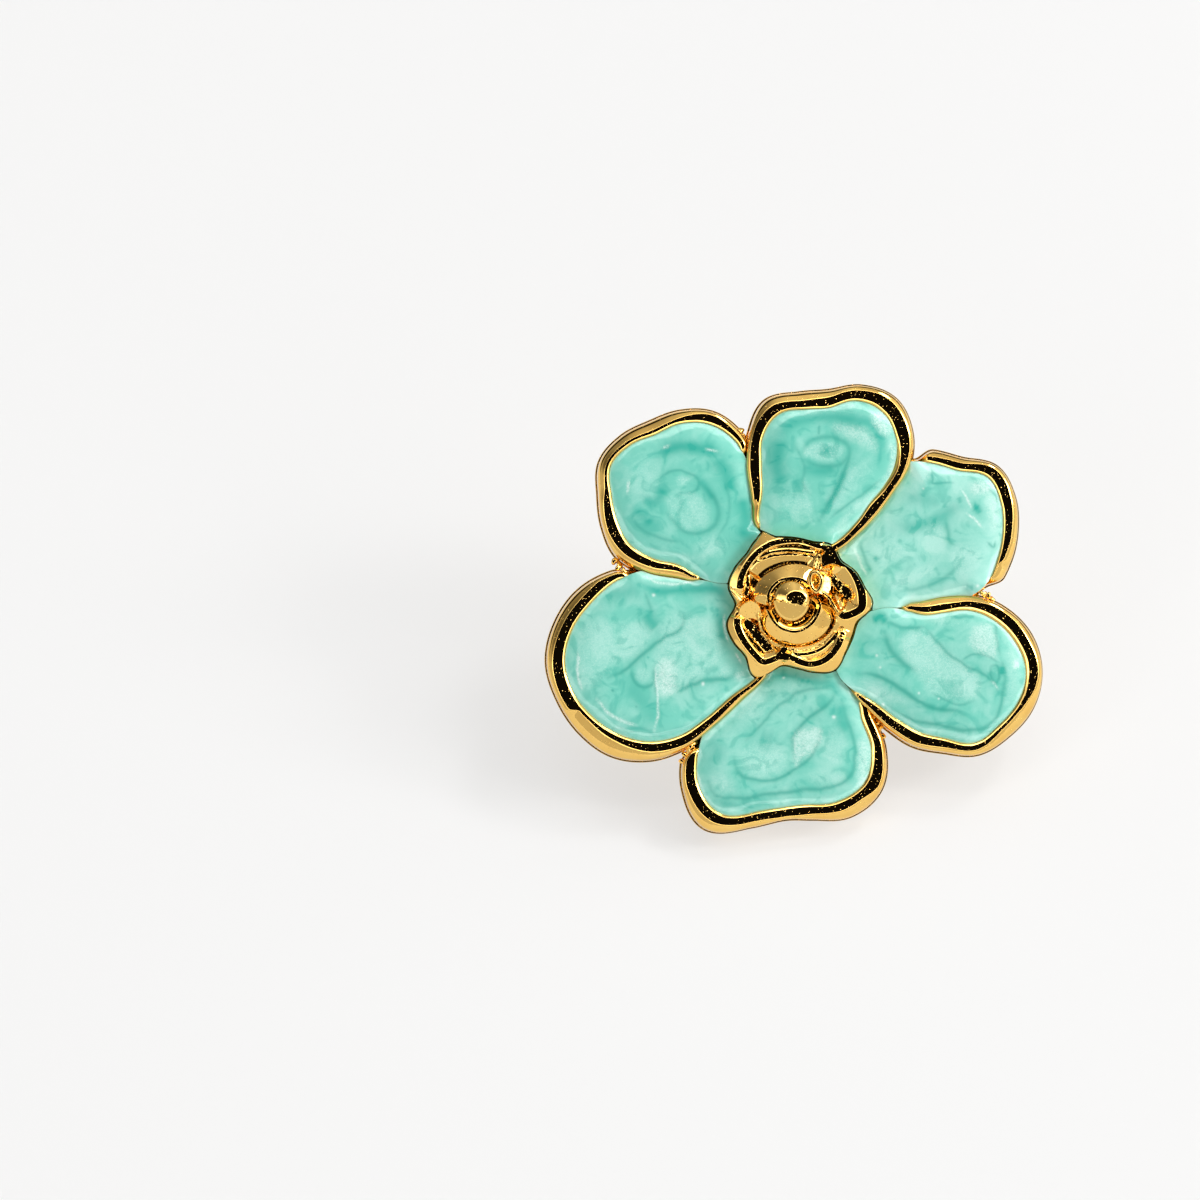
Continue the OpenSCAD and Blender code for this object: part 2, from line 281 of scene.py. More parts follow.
def curve(a, b, c, d, t):
    """Value between b and c on a smooth curve through four values."""
    return (b + t * (c - a) / 2 + t ** 2 * (a - 2.5 * b + 2 * c - d / 2)
            + t ** 3 * (1.5 * (b - c) + (d - a) / 2))


def smooth_at(values, angle):
    """Smooth closed curve through evenly spaced values, read at angles in degrees."""
    values = np.asarray(values, float)
    n = len(values)
    s = np.mod(angle, 360.0) * n / 360.0
    i = np.floor(s).astype(int)
    return curve(*(values[(i + k) % n] for k in (-1, 0, 1, 2)), s - i)


def ease(x):
    c = np.clip(x, 0, 1)
    return c * c * (3 - 2 * c)


def mix(a, b, part):
    return a + (b - a) * part


def direction(angle):
    return np.cos(np.radians(angle)), np.sin(np.radians(angle))


def bearing(x, y):
    return np.degrees(np.arctan2(y, x))


def off_angle(angle, middle):
    """Signed angle from a middle one, within half a turn."""
    return np.mod(angle - middle + 180.0, 360.0) - 180.0


def from_photo(px, py):
    """Place in the flower plane of a photo pixel."""
    return (px - PHOTO_ROSE[0]) * PHOTO_MM, (PHOTO_ROSE[1] - py) * PHOTO_MM


def rim_part(petal, angle):
    """How much of a petal's rim stands at each angle."""
    start, end = petal["rim"]
    past = np.mod(angle - start, 360.0)
    left = end - start - past
    return np.where(left < 0, 0, ease(past / rim_taper) * ease(left / rim_taper))


def stands(part):
    return 1 - (1 - part) ** taper_hold


def edge_r(petal, angle):
    return smooth_at(petal["edge"], angle)


def outer_r(petal, angle):
    width = smooth_at(petal["width"], angle) * rim_part(petal, angle)
    return edge_r(petal, angle) + np.maximum(no_rim, width)


def rose_r(angle):
    past = np.abs(off_angle(angle, rose_spike_at)) / rose_spike_half
    return smooth_at(ROSE_EDGE, angle) + rose_spike * np.clip(1 - past, 0, 1) ** rose_spike_power


def covered(petal, x, y, margin):
    """Where the rose or a petal in front lies over a petal."""
    over = np.hypot(x, y) < rose_r(bearing(x, y))
    for name in petal["front"]:
        front = PETALS[name]
        dx, dy = x - front["centre"][0], y - front["centre"][1]
        over |= np.hypot(dx, dy) < outer_r(front, bearing(dx, dy)) + margin
    return over


def halve(too_far, high, steps):
    """Largest value below a high one that isn't too far, found by halving."""
    low = np.zeros_like(high)
    for _ in range(steps):
        middle = (low + high) / 2
        far = too_far(middle)
        low, high = np.where(far, low, middle), np.where(far, middle, high)
    return low


def fill_r(petal, angle, margin):
    """Radius at which an enamel fill ends: its own edge, or what lies over the petal."""
    top = edge_r(petal, angle)
    c, s = direction(angle)
    u, v = petal["centre"]

    def hidden(r):
        return covered(petal, u + r * c, v + r * s, margin)

    return np.where(hidden(top), halve(hidden, top, fill_halvings), top)


def smooth_line(points, steps=8, closed=False):
    """Dense smooth line through a few points."""
    p = np.asarray(points, float)
    if closed:
        p = np.vstack([p[-1], p, p[0], p[1]])
    else:
        p = np.vstack([2 * p[0] - p[1], p, 2 * p[-1] - p[-2]])
    t = np.linspace(0, 1, steps, endpoint=False)[:, None]
    parts = [curve(*p[k - 1:k + 3], t) for k in range(1, len(p) - 2)]
    return np.vstack(parts + [p[-2][None, :]])


def from_segment(a, b, x, y):
    """Distance from a straight line, how far along it the nearest place is, and its length."""
    d = b - a
    size = max(float(np.hypot(*d)), TINY)
    t = np.clip(((x - a[0]) * d[0] + (y - a[1]) * d[1]) / size ** 2, 0, 1)
    return np.hypot(x - a[0] - t * d[0], y - a[1] - t * d[1]), t * size, size


def from_line(line, x, y, reach=np.inf):
    """Distance from a line, and what part of its length leads to the nearest place on it."""
    best = np.full(x.shape, FAR)
    along = np.zeros(x.shape)
    total = np.hypot(*np.diff(line, axis=0).T).sum()
    low, high = line.min(0) - reach, line.max(0) + reach
    near = (x > low[0]) & (x < high[0]) & (y > low[1]) & (y < high[1])
    dist, part = best[near], along[near]
    start = 0.0
    for a, b in zip(line, line[1:]):
        out, passed, size = from_segment(a, b, x[near], y[near])
        closer = out < dist
        dist = np.where(closer, out, dist)
        part = np.where(closer, (start + passed) / total, part)
        start += size
    best[near], along[near] = dist, part
    return best, along


def inside_line(line, x, y):
    """Which points a closed line holds."""
    inside = np.zeros(x.shape, bool)
    for a, b in zip(line, np.roll(line, -1, axis=0)):
        crosses = (a[1] > y) != (b[1] > y)
        rise = b[1] - a[1]
        at = a[0] + (y - a[1]) * (b[0] - a[0]) / (rise if abs(rise) > TINY else TINY)
        inside ^= crosses & (x < at)
    return inside


def smooth_max(a, b, k):
    h = np.clip(0.5 + 0.5 * (a - b) / k, 0, 1)
    return mix(b, a, h) + k * h * (1 - h)


def lattice(seed, size=64):
    return np.random.default_rng(seed).uniform(-1, 1, (size, size))


def soft_noise(x, y, scale, seed):
    """Smooth noise between about -1 and 1 whose lumps are one scale apart."""
    table = lattice(seed)
    n = len(table)
    sx, sy = x / scale + NOISE_SHIFT[0], y / scale + NOISE_SHIFT[1]
    ix, iy = np.floor(sx).astype(int), np.floor(sy).astype(int)
    tx, ty = ease(sx - ix), ease(sy - iy)
    low, high = (mix(table[ix % n, (iy + j) % n], table[(ix + 1) % n, (iy + j) % n], tx) for j in (0, 1))
    return mix(low, high, ty)


def fine_noise(x, y, scale, seed, octaves=3):
    total = 0
    for k in range(octaves):
        total = total + soft_noise(x, y, scale / 2 ** k, seed + k) / 2 ** k
    return total / octave_sum


# Meshes in the flower plane

def ring_mesh(rings, first, last):
    """Closed mesh through rings of points, with a fan at each end."""
    rings = np.asarray(rings)
    m, n = rings.shape[:2]
    points = np.vstack([rings.reshape(-1, 3), [first], [last]])
    i = np.arange(n)
    j = (i + 1) % n
    faces = []
    for k in range(m - 1):
        a = k * n
        faces += np.stack([a + i, a + j, a + n + j, a + n + i], 1).tolist()
    faces += np.stack([j, i, np.full(n, m * n)], 1).tolist()
    top = (m - 1) * n
    faces += np.stack([top + i, top + j, np.full(n, m * n + 1)], 1).tolist()
    return points, faces


def around_centre(centre, radius, angle, n):
    r = np.broadcast_to(radius, angle.shape)
    c, s = direction(angle)
    return np.stack([centre[0] + r * c, centre[1] + r * s, np.broadcast_to(n, angle.shape)], 1)


def even_angles(count, turn=0.0):
    return (np.arange(count) + turn) * 360.0 / count


def add_object(name, data):
    obj = bpy.data.objects.new(name, data)
    bpy.context.scene.collection.objects.link(obj)
    return obj


def scratch_object(name, rings, first, last):
    """Closed object through rings of points, with a point for the fan at each end."""
    points, faces = ring_mesh(rings, first, last)
    mesh = bpy.data.meshes.new(name)
    mesh.from_pydata(points.tolist(), [], faces)
    mesh.update()
    return add_object(name, mesh)


def prism(name, centre, r, angle, low, high):
    """Upright block with one outline."""
    rings = [around_centre(centre, r, angle, n) for n in (low, high)]
    return scratch_object(name, rings, (*centre, low), (*centre, high))


def screen_edge(angle):
    """Slope at which a mirror stops showing the dark screen, in each direction."""
    c, s = direction(angle)
    (mx, my), (hx, hy) = SCREEN_MIDDLE, SCREEN_HALF
    a = (c / hx) ** 2 + (s / hy) ** 2
    b = -2 * (mx * c / hx ** 2 + my * s / hy ** 2)
    rest = (mx / hx) ** 2 + (my / hy) ** 2 - 1
    return (-b + np.sqrt(b * b - 4 * a * rest)) / (4 * a)


def pairs_at(petal, key, angle):
    """Value in mm between the angle and pixel pairs of a petal's row."""
    start = petal["rim"][0]
    angles, pixels = np.array(petal.get(key) or PLAIN_STRIPS[key], float).T
    if key == "dark":
        pixels = pixels + dark_spread * (pixels > 0)
    return np.interp(np.mod(angle - start, 360.0), angles - start, pixels) * PHOTO_MM


def rim_section(petal, angle, width):
    """Distance from the enamel edge and drop below the crest, for each ring of a rim."""
    marks, slopes = np.array(RIM_SLOPES).T
    fit = np.minimum(1, width / full_rim)
    inner, facet = (pairs_at(petal, key, angle) * fit for key in ("inner", "facet"))
    crest = np.minimum(pairs_at(petal, "dark", angle), crest_share * width - inner - facet)
    crest = np.maximum(crest, least_crest)
    strips = np.stack([inner, facet, crest, width - inner - facet - crest])
    out = np.array([(strips * np.clip(mark - np.arange(4), 0, 1)[:, None]).sum(0) for mark in marks])
    near = np.clip((follow_till - np.abs(slopes)) / follow_fade, 0, 1)[:, None]
    outward, inward = (screen_edge(angle + turn) / screen_slope for turn in (0, 180))
    scale = np.where(slopes[:, None] > 0, outward[None, :], inward[None, :])
    turned = slopes[:, None] * mix(1.0, scale, near)
    in_fall = marks[:, None] > 3
    gentle = least_fall * outward[None, :]

    def drops(keep):
        steep = np.where(in_fall, gentle + np.maximum(turned - gentle, 0) * keep, turned)
        steep = np.tan(np.radians(steep))
        steps = (steep[1:] + steep[:-1]) / 2 * np.diff(out, axis=0)
        drop = np.vstack([np.zeros(len(angle)), np.cumsum(steps, axis=0)])
        return drop - drop.min(0)

    def too_deep(keep):
        return drops(keep)[-1] > rim_fall

    full = np.ones(len(angle))
    return out, drops(np.where(too_deep(full), halve(too_deep, full, rim_halvings), full))


def petal_body(name, petal, angle):
    """Body of one petal: wall with a flared foot, rim, and a plate for the tray."""
    centre, layer = petal["centre"], petal["layer"]
    outer, part = outer_r(petal, angle), rim_part(petal, angle)
    width = mix(sunk_width, outer - edge_r(petal, angle), part)
    up = stands(part)

    def level(drop):
        return mix(plate_n + layer / 2, layer - drop, up)

    outs, drops = rim_section(petal, angle, width)
    rings = []
    for out, n in FOOT:
        rings.append(around_centre(centre, outer + out, angle, back_n + n))
    for out, down in SHOULDER:
        rings.append(around_centre(centre, outer + out * up, angle, level(drops[-1]) - down * up))
    for out, drop in zip(outs[::-1], drops[::-1]):
        rings.append(around_centre(centre, outer - width + out, angle, level(drop)))
    rings.append(around_centre(centre, outer - width - last_step, angle, level(rim_inner_drop)))
    return scratch_object("body_" + name, rings, (*centre, back_n), (*centre, layer - rim_inner_drop))


def pocket(name, petal, angle):
    """Space of one enamel fill, from its floor up."""
    r = fill_r(petal, angle, seen_gap) + seen_gap / 2
    return prism("pocket_" + name, petal["centre"], r, angle, petal["layer"] + floor_n, pocket_top)


# The rose's relief is drawn over the photo: points are in chart units, from the chart's
# middle at the flower's, and heights in mm
ROSE_CHART = (756.0, 738.0, 153.5)


def rose_points(points):
    return [((x - ROSE_CHART[0]) / ROSE_CHART[2], (ROSE_CHART[1] - y) / ROSE_CHART[2]) for x, y in points]


def closed_shape(points, x, y, steps=8):
    """Distance from a closed outline on the chart, and which points it holds."""
    line = smooth_line(rose_points(points), steps, closed=True)
    return from_line(line, x, y)[0], inside_line(line, x, y)


def line_distance(points, x, y, steps=8):
    return from_line(smooth_line(rose_points(points), steps), x, y)[0]


# Crests of the outer petals: half the width of the flat crest, its height, and how
# steeply it falls inwards and outwards
LIPS = (
    dict(line=((222, 640), (228, 560), (245, 470), (300, 360), (390, 255), (510, 180), (640, 148),
               (780, 145), (900, 178), (1010, 225)),
         half=0.14, top=1.28, inward=2.0, outward=0.42),
    dict(line=((285, 430), (350, 350), (450, 282), (580, 246), (720, 242), (850, 258), (940, 262)),
         half=0.1, top=1.2, inward=0.42, outward=0.7),
    dict(line=((1100, 290), (1200, 350), (1285, 460), (1335, 580), (1352, 690), (1340, 770), (1260, 818),
               (1190, 838), (1150, 815), (1125, 790)),
         half=0.2, top=1.3, inward=0.62, outward=0.75),
    dict(line=((208, 830), (200, 920), (235, 1020), (300, 1120), (380, 1215), (440, 1262), (520, 1245),
               (610, 1205)),
         half=0.16, top=1.2, inward=0.8, outward=0.75),
    dict(line=((650, 1195), (740, 1245), (850, 1282), (960, 1268), (1060, 1205), (1130, 1110),
               (1165, 1010)),
         half=0.16, top=1.2, inward=0.9, outward=0.75),
    dict(line=((120, 590), (180, 640), (240, 710)),
         half=0.02, top=1.2, inward=0.9, outward=0.5),
    dict(line=((700, 1185), (830, 1190), (960, 1150), (1060, 1070), (1135, 985)),
         half=0.09, top=1.14, inward=0.9, outward=0.7),
    dict(line=((905, 400), (925, 330), (965, 265)),
         half=0.03, top=1.2, inward=0.7, outward=0.7),
    dict(line=((955, 420), (965, 350), (985, 270)),
         half=0.03, top=1.2, inward=0.7, outward=0.7),
)
KNOT = ((985, 385), (975, 290), (1005, 245), (900, 185), (1000, 190), (1105, 185), (1165, 150),
        (1152, 200), (1142, 260), (1185, 300), (1230, 380), (1180, 392), (1100, 365), (1040, 368))

# Ends and sides of those crests
lip_steps = 10
lip_ease = 0.07
lip_ease_slope = 0.34
lip_end = 0.05
lip_end_drop = 0.2
lip_crown = 0.015

# Terrace round the curls: its outline, height and slopes
APRON = ((395, 760), (395, 900), (430, 1010), (500, 1090), (620, 1150), (760, 1162), (900, 1140),
         (1020, 1080), (1110, 990), (1165, 890), (1150, 800), (1000, 640), (700, 600))
apron_n = 0.98
apron_w = 0.42
apron_rise = 0.5
apron_steep = 5

# The two curled petals, each with its crest, and what lies between them and outside them
LOWER_CURL = ((440, 760), (430, 870), (470, 980), (540, 1050), (640, 1092), (750, 1105), (880, 1082),
              (990, 1020), (1060, 930), (1075, 840), (1000, 700), (760, 620), (520, 700))
LOWER_CREST = ((470, 770), (495, 820), (530, 880), (580, 935), (640, 968), (720, 985), (800, 968),
               (880, 915), (935, 840), (962, 760), (945, 695), (905, 660))
UPPER_CURL = ((520, 745), (430, 740), (375, 715), (345, 655), (365, 580), (410, 505), (500, 430),
              (640, 370), (780, 362), (900, 400), (965, 465), (985, 530), (955, 600), (900, 625),
              (700, 650))
UPPER_CREST = ((500, 735), (483, 680), (495, 615), (532, 558), (590, 512), (660, 493), (740, 492),
               (810, 512), (858, 552), (885, 605))
ROLLED_END = ((893, 590), (872, 540), (870, 480), (895, 438), (940, 445), (972, 500), (965, 565),
              (930, 612), (893, 590))
SPUR = ((890, 625), (960, 615), (1035, 660), (1085, 735), (1125, 800))

LOW_KNOT = ((560, 1190), (600, 1150), (590, 1130), (650, 1120), (668, 1150), (650, 1175), (705, 1195),
            (700, 1240), (620, 1248), (570, 1228))
TONGUE = ((362, 668), (392, 645), (460, 646), (535, 662), (545, 740), (470, 738), (415, 722), (372, 700))

LEAF = ((228, 842), (222, 775), (262, 725), (330, 702), (395, 735), (420, 800), (425, 890), (340, 862),
        (262, 868))
FACET = ((972, 530), (1005, 475), (1050, 482), (1062, 560), (1040, 625), (985, 640), (950, 615))

# Knots: outline and height. Flat patches: outline, height, where they have that height,
# and how they climb along u and v.
KNOTS = ((KNOT, 1.27), (LOW_KNOT, 1.2))
knot_steep = 2.5
bud_tilt = 0.42
PATCHES = ((TONGUE, 1.62, (0, 0.35), (0, bud_tilt)), (FACET, 1.3, (1.6, 1.1), (-0.3, -0.26)),
           (LEAF, 1.12, (0, -0.34), (0, 0.5)))
patch_steep = 4.0

# Curls: height and slope of the groove round each, and its height at outline and crest
CURLS = (
    dict(outline=LOWER_CURL, crest=LOWER_CREST, groove=0.72, steep=2.4, low=0.98, high=1.52),
    dict(outline=UPPER_CURL, crest=UPPER_CREST, groove=0.95, steep=3.0, low=1.2, high=1.72),
)
crest_half = 0.07
crest_power = 0.92
curl_steep = 6

# Bowl between the crests: its brim below and above, and where it falls more steeply
BRIM = (1.53, 1.74)
brim_from = -0.3
brim_over = 0.6
BOWL = ((0.06, 0.46), (0.3, 1.2))
bowl_floor = 1.05

# Rolled end of the upper curl, and the spur beside it
rolled_r = 0.15
rolled_n = 1.68
spur_n = 1.42
spur_half = 0.07
spur_crown = 0.01
spur_steep = 1.6

# Height between all these, and how softly they meet
rose_low = 0.35
soft_join = 0.04
join = 0.03
tight_join = 0.02

# Worn places: a line along each, half its width, its height, and how deep the scratches are
WORN = (
    (((400, 322), (500, 286), (620, 268), (760, 266), (900, 286)), 0.1, 1.12, 0.035),
    (((300, 490), (298, 560), (290, 640)), 0.2, 0.98, 0.045),
    (((300, 900), (360, 980), (430, 1060), (490, 1130)), 0.34, 0.86, 0.04),
    (((1085, 510), (1130, 560), (1230, 650)), 0.33, 0.86, 0.04),
    (((700, 1150), (800, 1160), (900, 1138), (1000, 1092)), 0.08, 1.06, 0.035),
)

worn_ragged = 0.35
worn_edge = 0.09

# Middle bud: its middle, half its width and height, where its top lies, and its slopes
bud_middle = (697, 702)
bud_wide = 1.06
bud_high = 1.19
bud_top = 2.3
bud_apex = (0.25, 0.14)
bud_oval = 0.9
bud_flat_r = 0.5
bud_fall = 0.44
bud_soft = 0.004
bud_fold = -0.13
bud_fold_slope = 0.17
bud_fold_w = 0.1
bud_jag = 0.2
bud_round = 1.5
bud_steep = 5
BUD_WORN = (0.55, 0.42)
bud_worn_reach = 1.3
bud_worn_depth = 0.03
bud_side = 0.88


def ridge(x, y, row):
    """Height of one crest: flat on top, with its own fall on each side."""
    line = smooth_line(rose_points(row["line"]), lip_steps)
    dist, along = from_line(line, x, y)
    u, v = (np.interp(along, np.linspace(0, 1, len(line)), line[:, k]) for k in (0, 1))
    outward = (x - u) * u + (y - v) * v > 0
    past = np.maximum(dist - row["half"], 0)
    fall = np.where(outward, row["outward"], row["inward"])
    taper = ease(np.minimum(along, 1 - along) / lip_end)
    soft = np.minimum(past, lip_ease) * lip_ease_slope / fall + np.maximum(past - lip_ease, 0)
    crown = lip_crown * np.minimum(dist / row["half"], 1) ** 2
    return row["top"] - lip_end_drop * (1 - taper) - crown - soft * fall


def with_curl(base, x, y, row):
    """Adds a curled petal in its groove: it climbs from its outline to a flat crest."""
    out, inside = closed_shape(row["outline"], x, y)
    base = np.minimum(base, row["groove"] + np.where(inside, 0, row["steep"] * out))
    up = np.maximum(line_distance(row["crest"], x, y) - crest_half, 0)
    part = out / np.maximum(out + up, TINY)
    climb = mix(row["low"], row["high"], part ** crest_power)
    return smooth_max(base, np.where(inside, climb, row["low"] - curl_steep * out), tight_join)


def raised(x, y, outline, height, steep):
    """Flat-topped patch inside an outline, with steep sides."""
    dist, inside = closed_shape(outline, x, y, 6)
    return height - steep * np.where(inside, 0, dist)


def bud_height(x, y):
    """Bud in the middle: a level lower part that tilts down, and a round upper part."""
    (mx, my), = rose_points([bud_middle])
    px, py = x - mx, y - my
    out = np.hypot(px / bud_wide, py / bud_high)
    ax, ay = px - bud_apex[0], py - bud_apex[1]
    past = np.hypot(ax, ay / bud_oval) - bud_flat_r
    upper = bud_top - bud_fall * (np.sqrt(past ** 2 + bud_soft) + past) / 2
    above = py - (bud_fold - bud_fold_slope * px)
    lower = bud_top + bud_tilt * above
    jag = bud_jag * fine_noise(x, y, 0.2, 41, 2)
    height = mix(lower, upper, ease((above + jag) / bud_fold_w))
    worn = ease(bud_worn_reach - np.hypot(ax / BUD_WORN[0], ay / BUD_WORN[1]))
    height = height + worn * bud_worn_depth * fine_noise(x, y, 0.13, 43, 2)
    return height - bud_round * np.maximum(out - bud_side, 0) ** 1.5 - bud_steep * np.maximum(out - 1, 0)


def outer_petals(x, y):
    """Crests, knots and apron round the curls, with scratches where they are worn."""
    base = np.full(x.shape, rose_low)
    for row in LIPS:
        base = smooth_max(base, ridge(x, y, row), soft_join)
    for outline, height in KNOTS:
        base = smooth_max(base, raised(x, y, outline, height, knot_steep), soft_join)
    dist, inside = closed_shape(APRON, x, y)
    slope = np.where(inside, apron_rise * np.minimum(dist, apron_w), -apron_steep * dist)
    base = smooth_max(base, apron_n + slope, join)
    for k, (points, half, height, depth) in enumerate(WORN):
        reach = half * (1 + worn_ragged * fine_noise(x, y, 0.3, 61 + k, 2))
        part = ease((reach - line_distance(points, x, y, 6)) / worn_edge)
        base = mix(base, height + depth * fine_noise(x, y, 0.11, 21 + k, 2), part)
    return base


def rose_height(x, y):
    """Height of the rose's relief."""
    base = outer_petals(x, y)
    for row in CURLS:
        base = with_curl(base, x, y, row)
    for outline, height, (u, v), (along_u, along_v) in PATCHES:
        patch = raised(x, y, outline, height, patch_steep) + along_u * (x - u) + along_v * (y - v)
        base = smooth_max(base, patch, tight_join)

    dist, inside = closed_shape(UPPER_CREST + LOWER_CREST[::-1], x, y)
    deep = mix(*BRIM, ease((y - brim_from) / brim_over))
    for start, slope in BOWL:
        deep = deep - slope * np.maximum(dist - start, 0)
    base = np.where(inside, np.minimum(base, np.maximum(deep, bowl_floor)), base)

    dist = line_distance(ROLLED_END, x, y)
    tube = np.sqrt(np.maximum(0.0, 1 - (dist / rolled_r) ** 2)) * rolled_r
    base = smooth_max(base, np.where(dist < rolled_r, rolled_n + tube, 0), tight_join)
    dist = line_distance(SPUR, x, y)
    spur = spur_n - spur_crown * (dist / spur_half) ** 2 - spur_steep * np.maximum(dist - spur_half, 0)
    base = smooth_max(base, spur, join)
    base = smooth_max(base, bud_height(x, y), tight_join)
    return -smooth_max(-base, -rose_edge(x, y), join)


def rose_edge(x, y):
    """Steep side of the rose, with a narrow ledge all round."""
    angle = bearing(x, y)
    past = np.maximum(rose_r(angle) - np.hypot(x, y), 0)
    turned = off_angle(angle, ledge_wide_at)
    wide = ledge_w + ledge_wide * np.exp(-(turned / ledge_turn) ** 2)
    steep = np.minimum(past, ledge_n) + np.maximum(past - ledge_n - wide, 0)
    return rose_foot_n + rose_steep * steep + ledge_slope * np.clip(past - ledge_n, 0, wide)


def rose_body():
    angle = even_angles(rose_around)
    out = rose_r(angle)
    low = (core_n + back_n) / 2
    c, s = direction(angle)
    rings = [around_centre((0, 0), out, angle, low)]
    steps = [out - inward for inward in LEDGE_STEPS]
    steps += [(out - rose_inner) * (1 - k / rose_rings) for k in range(rose_rings)]
    for r in steps:
        rings.append(np.stack([r * c, r * s, rose_height(r * c, r * s)], 1))
    middle = float(rose_height(np.zeros(1), np.zeros(1))[0])
    return scratch_object("rose_body", rings, (0, 0, low), (0, 0, middle))


# Lumps of gold where petals join: place in photo pixels, size in mm, height
CRUMBS = ((741, 431, 0.22, -0.7), (743, 437, 0.2, -0.45), (740, 442, 0.24, -0.4), (743, 449, 0.22, -0.3),
          (741, 455, 0.22, -0.35), (615, 561, 0.22, -0.6), (619, 566, 0.24, -0.45), (624, 571, 0.2, -0.35),
          (692, 744, 0.26, -0.4), (690, 750, 0.28, -0.55), (687, 756, 0.28, -0.75), (684, 762, 0.24, -1.0),
          (861, 702, 0.22, -0.5), (867, 708, 0.22, -0.6), (872, 715, 0.22, -0.7), (876, 722, 0.2, -0.8),
          (880, 729, 0.22, -1.0), (883, 736, 0.2, -1.3), (984, 594, 0.2, -0.35), (989, 596, 0.18, -0.5),
          (993, 599, 0.16, -0.8))
CRUMB_WAVES = (0.28, 0.2)
crumb_flat = 0.55
crumb_lat = 80
crumb_tilt = 0.4
crumb_around = 20
crumb_rings = 9
crumb_seed = 5


def crumb(k, place, size, n):
    """One small uneven lump."""
    u, v = place
    angle = even_angles(crumb_around)
    rng = np.random.default_rng(k + crumb_seed)
    three, two = CRUMB_WAVES
    wave = (1 + three * np.cos(np.radians(angle * 3 + rng.uniform(0, 360))) * rng.uniform(0.4, 1)
            + two * np.cos(np.radians(angle * 2 + rng.uniform(0, 360))))
    tilt_u, tilt_v = rng.uniform(-crumb_tilt, crumb_tilt, 2)
    high = size * crumb_flat
    rings = []
    for lat in np.radians(np.linspace(-crumb_lat, crumb_lat, crumb_rings)):
        ring = around_centre(place, size * math.cos(lat) * wave, angle, n + high * math.sin(lat))
        ring[:, 2] += tilt_u * (ring[:, 0] - u) + tilt_v * (ring[:, 1] - v)
        rings.append(ring)
    return scratch_object("crumb_%d" % k, rings, (u, v, n - high), (u, v, n + high))


def crumbs():
    return [crumb(k, from_photo(px, py), size, n) for k, (px, py, size, n) in enumerate(CRUMBS)]


def combine(base, operation, others):
    """One mesh from a base and others that are joined to it or cut from it."""
    for other in others:
        step = base.modifiers.new(other.name, "BOOLEAN")
        step.operation = operation
        step.object = other
        step.solver = "MANIFOLD"
    view = bpy.context.evaluated_depsgraph_get()
    mesh = bpy.data.meshes.new_from_object(base.evaluated_get(view))
    base.modifiers.clear()
    mesh.materials.clear()
    base.data = mesh
    for other in others:
        bpy.data.objects.remove(other, do_unlink=True)
    return base


# From the flower plane to the row's frame

axis = frame["record"]["mounts"][0]["axis"]
lean = math.atan2(axis[1], -axis[2])
TURN = Matrix.Rotation(lean, 4, "X") @ Matrix.Rotation(-rest_roll, 4, "Z")
PLACE = TURN @ Matrix.Translation((-post_u, -post_v, body_t + lobe_t / 2))


def to_row(points):
    m = np.array(PLACE)
    return (np.asarray(points) @ m[:3, :3].T + m[:3, 3]) * MM


def plane_points(mesh):
    flat = np.empty(len(mesh.vertices) * 3)
    mesh.vertices.foreach_get("co", flat)
    return flat.reshape(-1, 3)


def settle_piece(obj, name, node, material, sharp=32.0):
    """Puts a piece made in the flower plane in the row's frame, in place of its solid."""
    mesh = obj.data
    points = plane_points(mesh)
    store(mesh, "plane", points, "FLOAT_VECTOR")
    mesh.vertices.foreach_set("co", to_row(points).ravel())
    mesh.update()
    mesh.shade_smooth()
    mesh.set_sharp_from_angle(angle=math.radians(sharp))
    mesh.materials.append(material)
    obj.name = mesh.name = name
    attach(obj, "root")
    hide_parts(node)


def store(mesh, name, values, kind="FLOAT"):
    layer = mesh.attributes.new(name, kind, "POINT")
    field = "vector" if kind == "FLOAT_VECTOR" else "value"
    layer.data.foreach_set(field, np.asarray(values, float).ravel())


# Enamel

# Where each petal's drawing lies in the photo: its corner in photo pixels, and its scale
CHARTS = {
    "top": (745, 380, 8.711),
    "top_right": (850, 440, 8.711),
    "right": (850, 590, 7.84),
    "bottom": (680, 660, 7.127),
    "left": (540, 560, 7.649),
    "top_left": (590, 405, 8.04),
}

# How much paler than the others each petal is
TONES = {"top": -0.12, "top_right": 0.4, "right": 0.0, "bottom": 0.12, "left": 0.0, "top_left": -0.14}
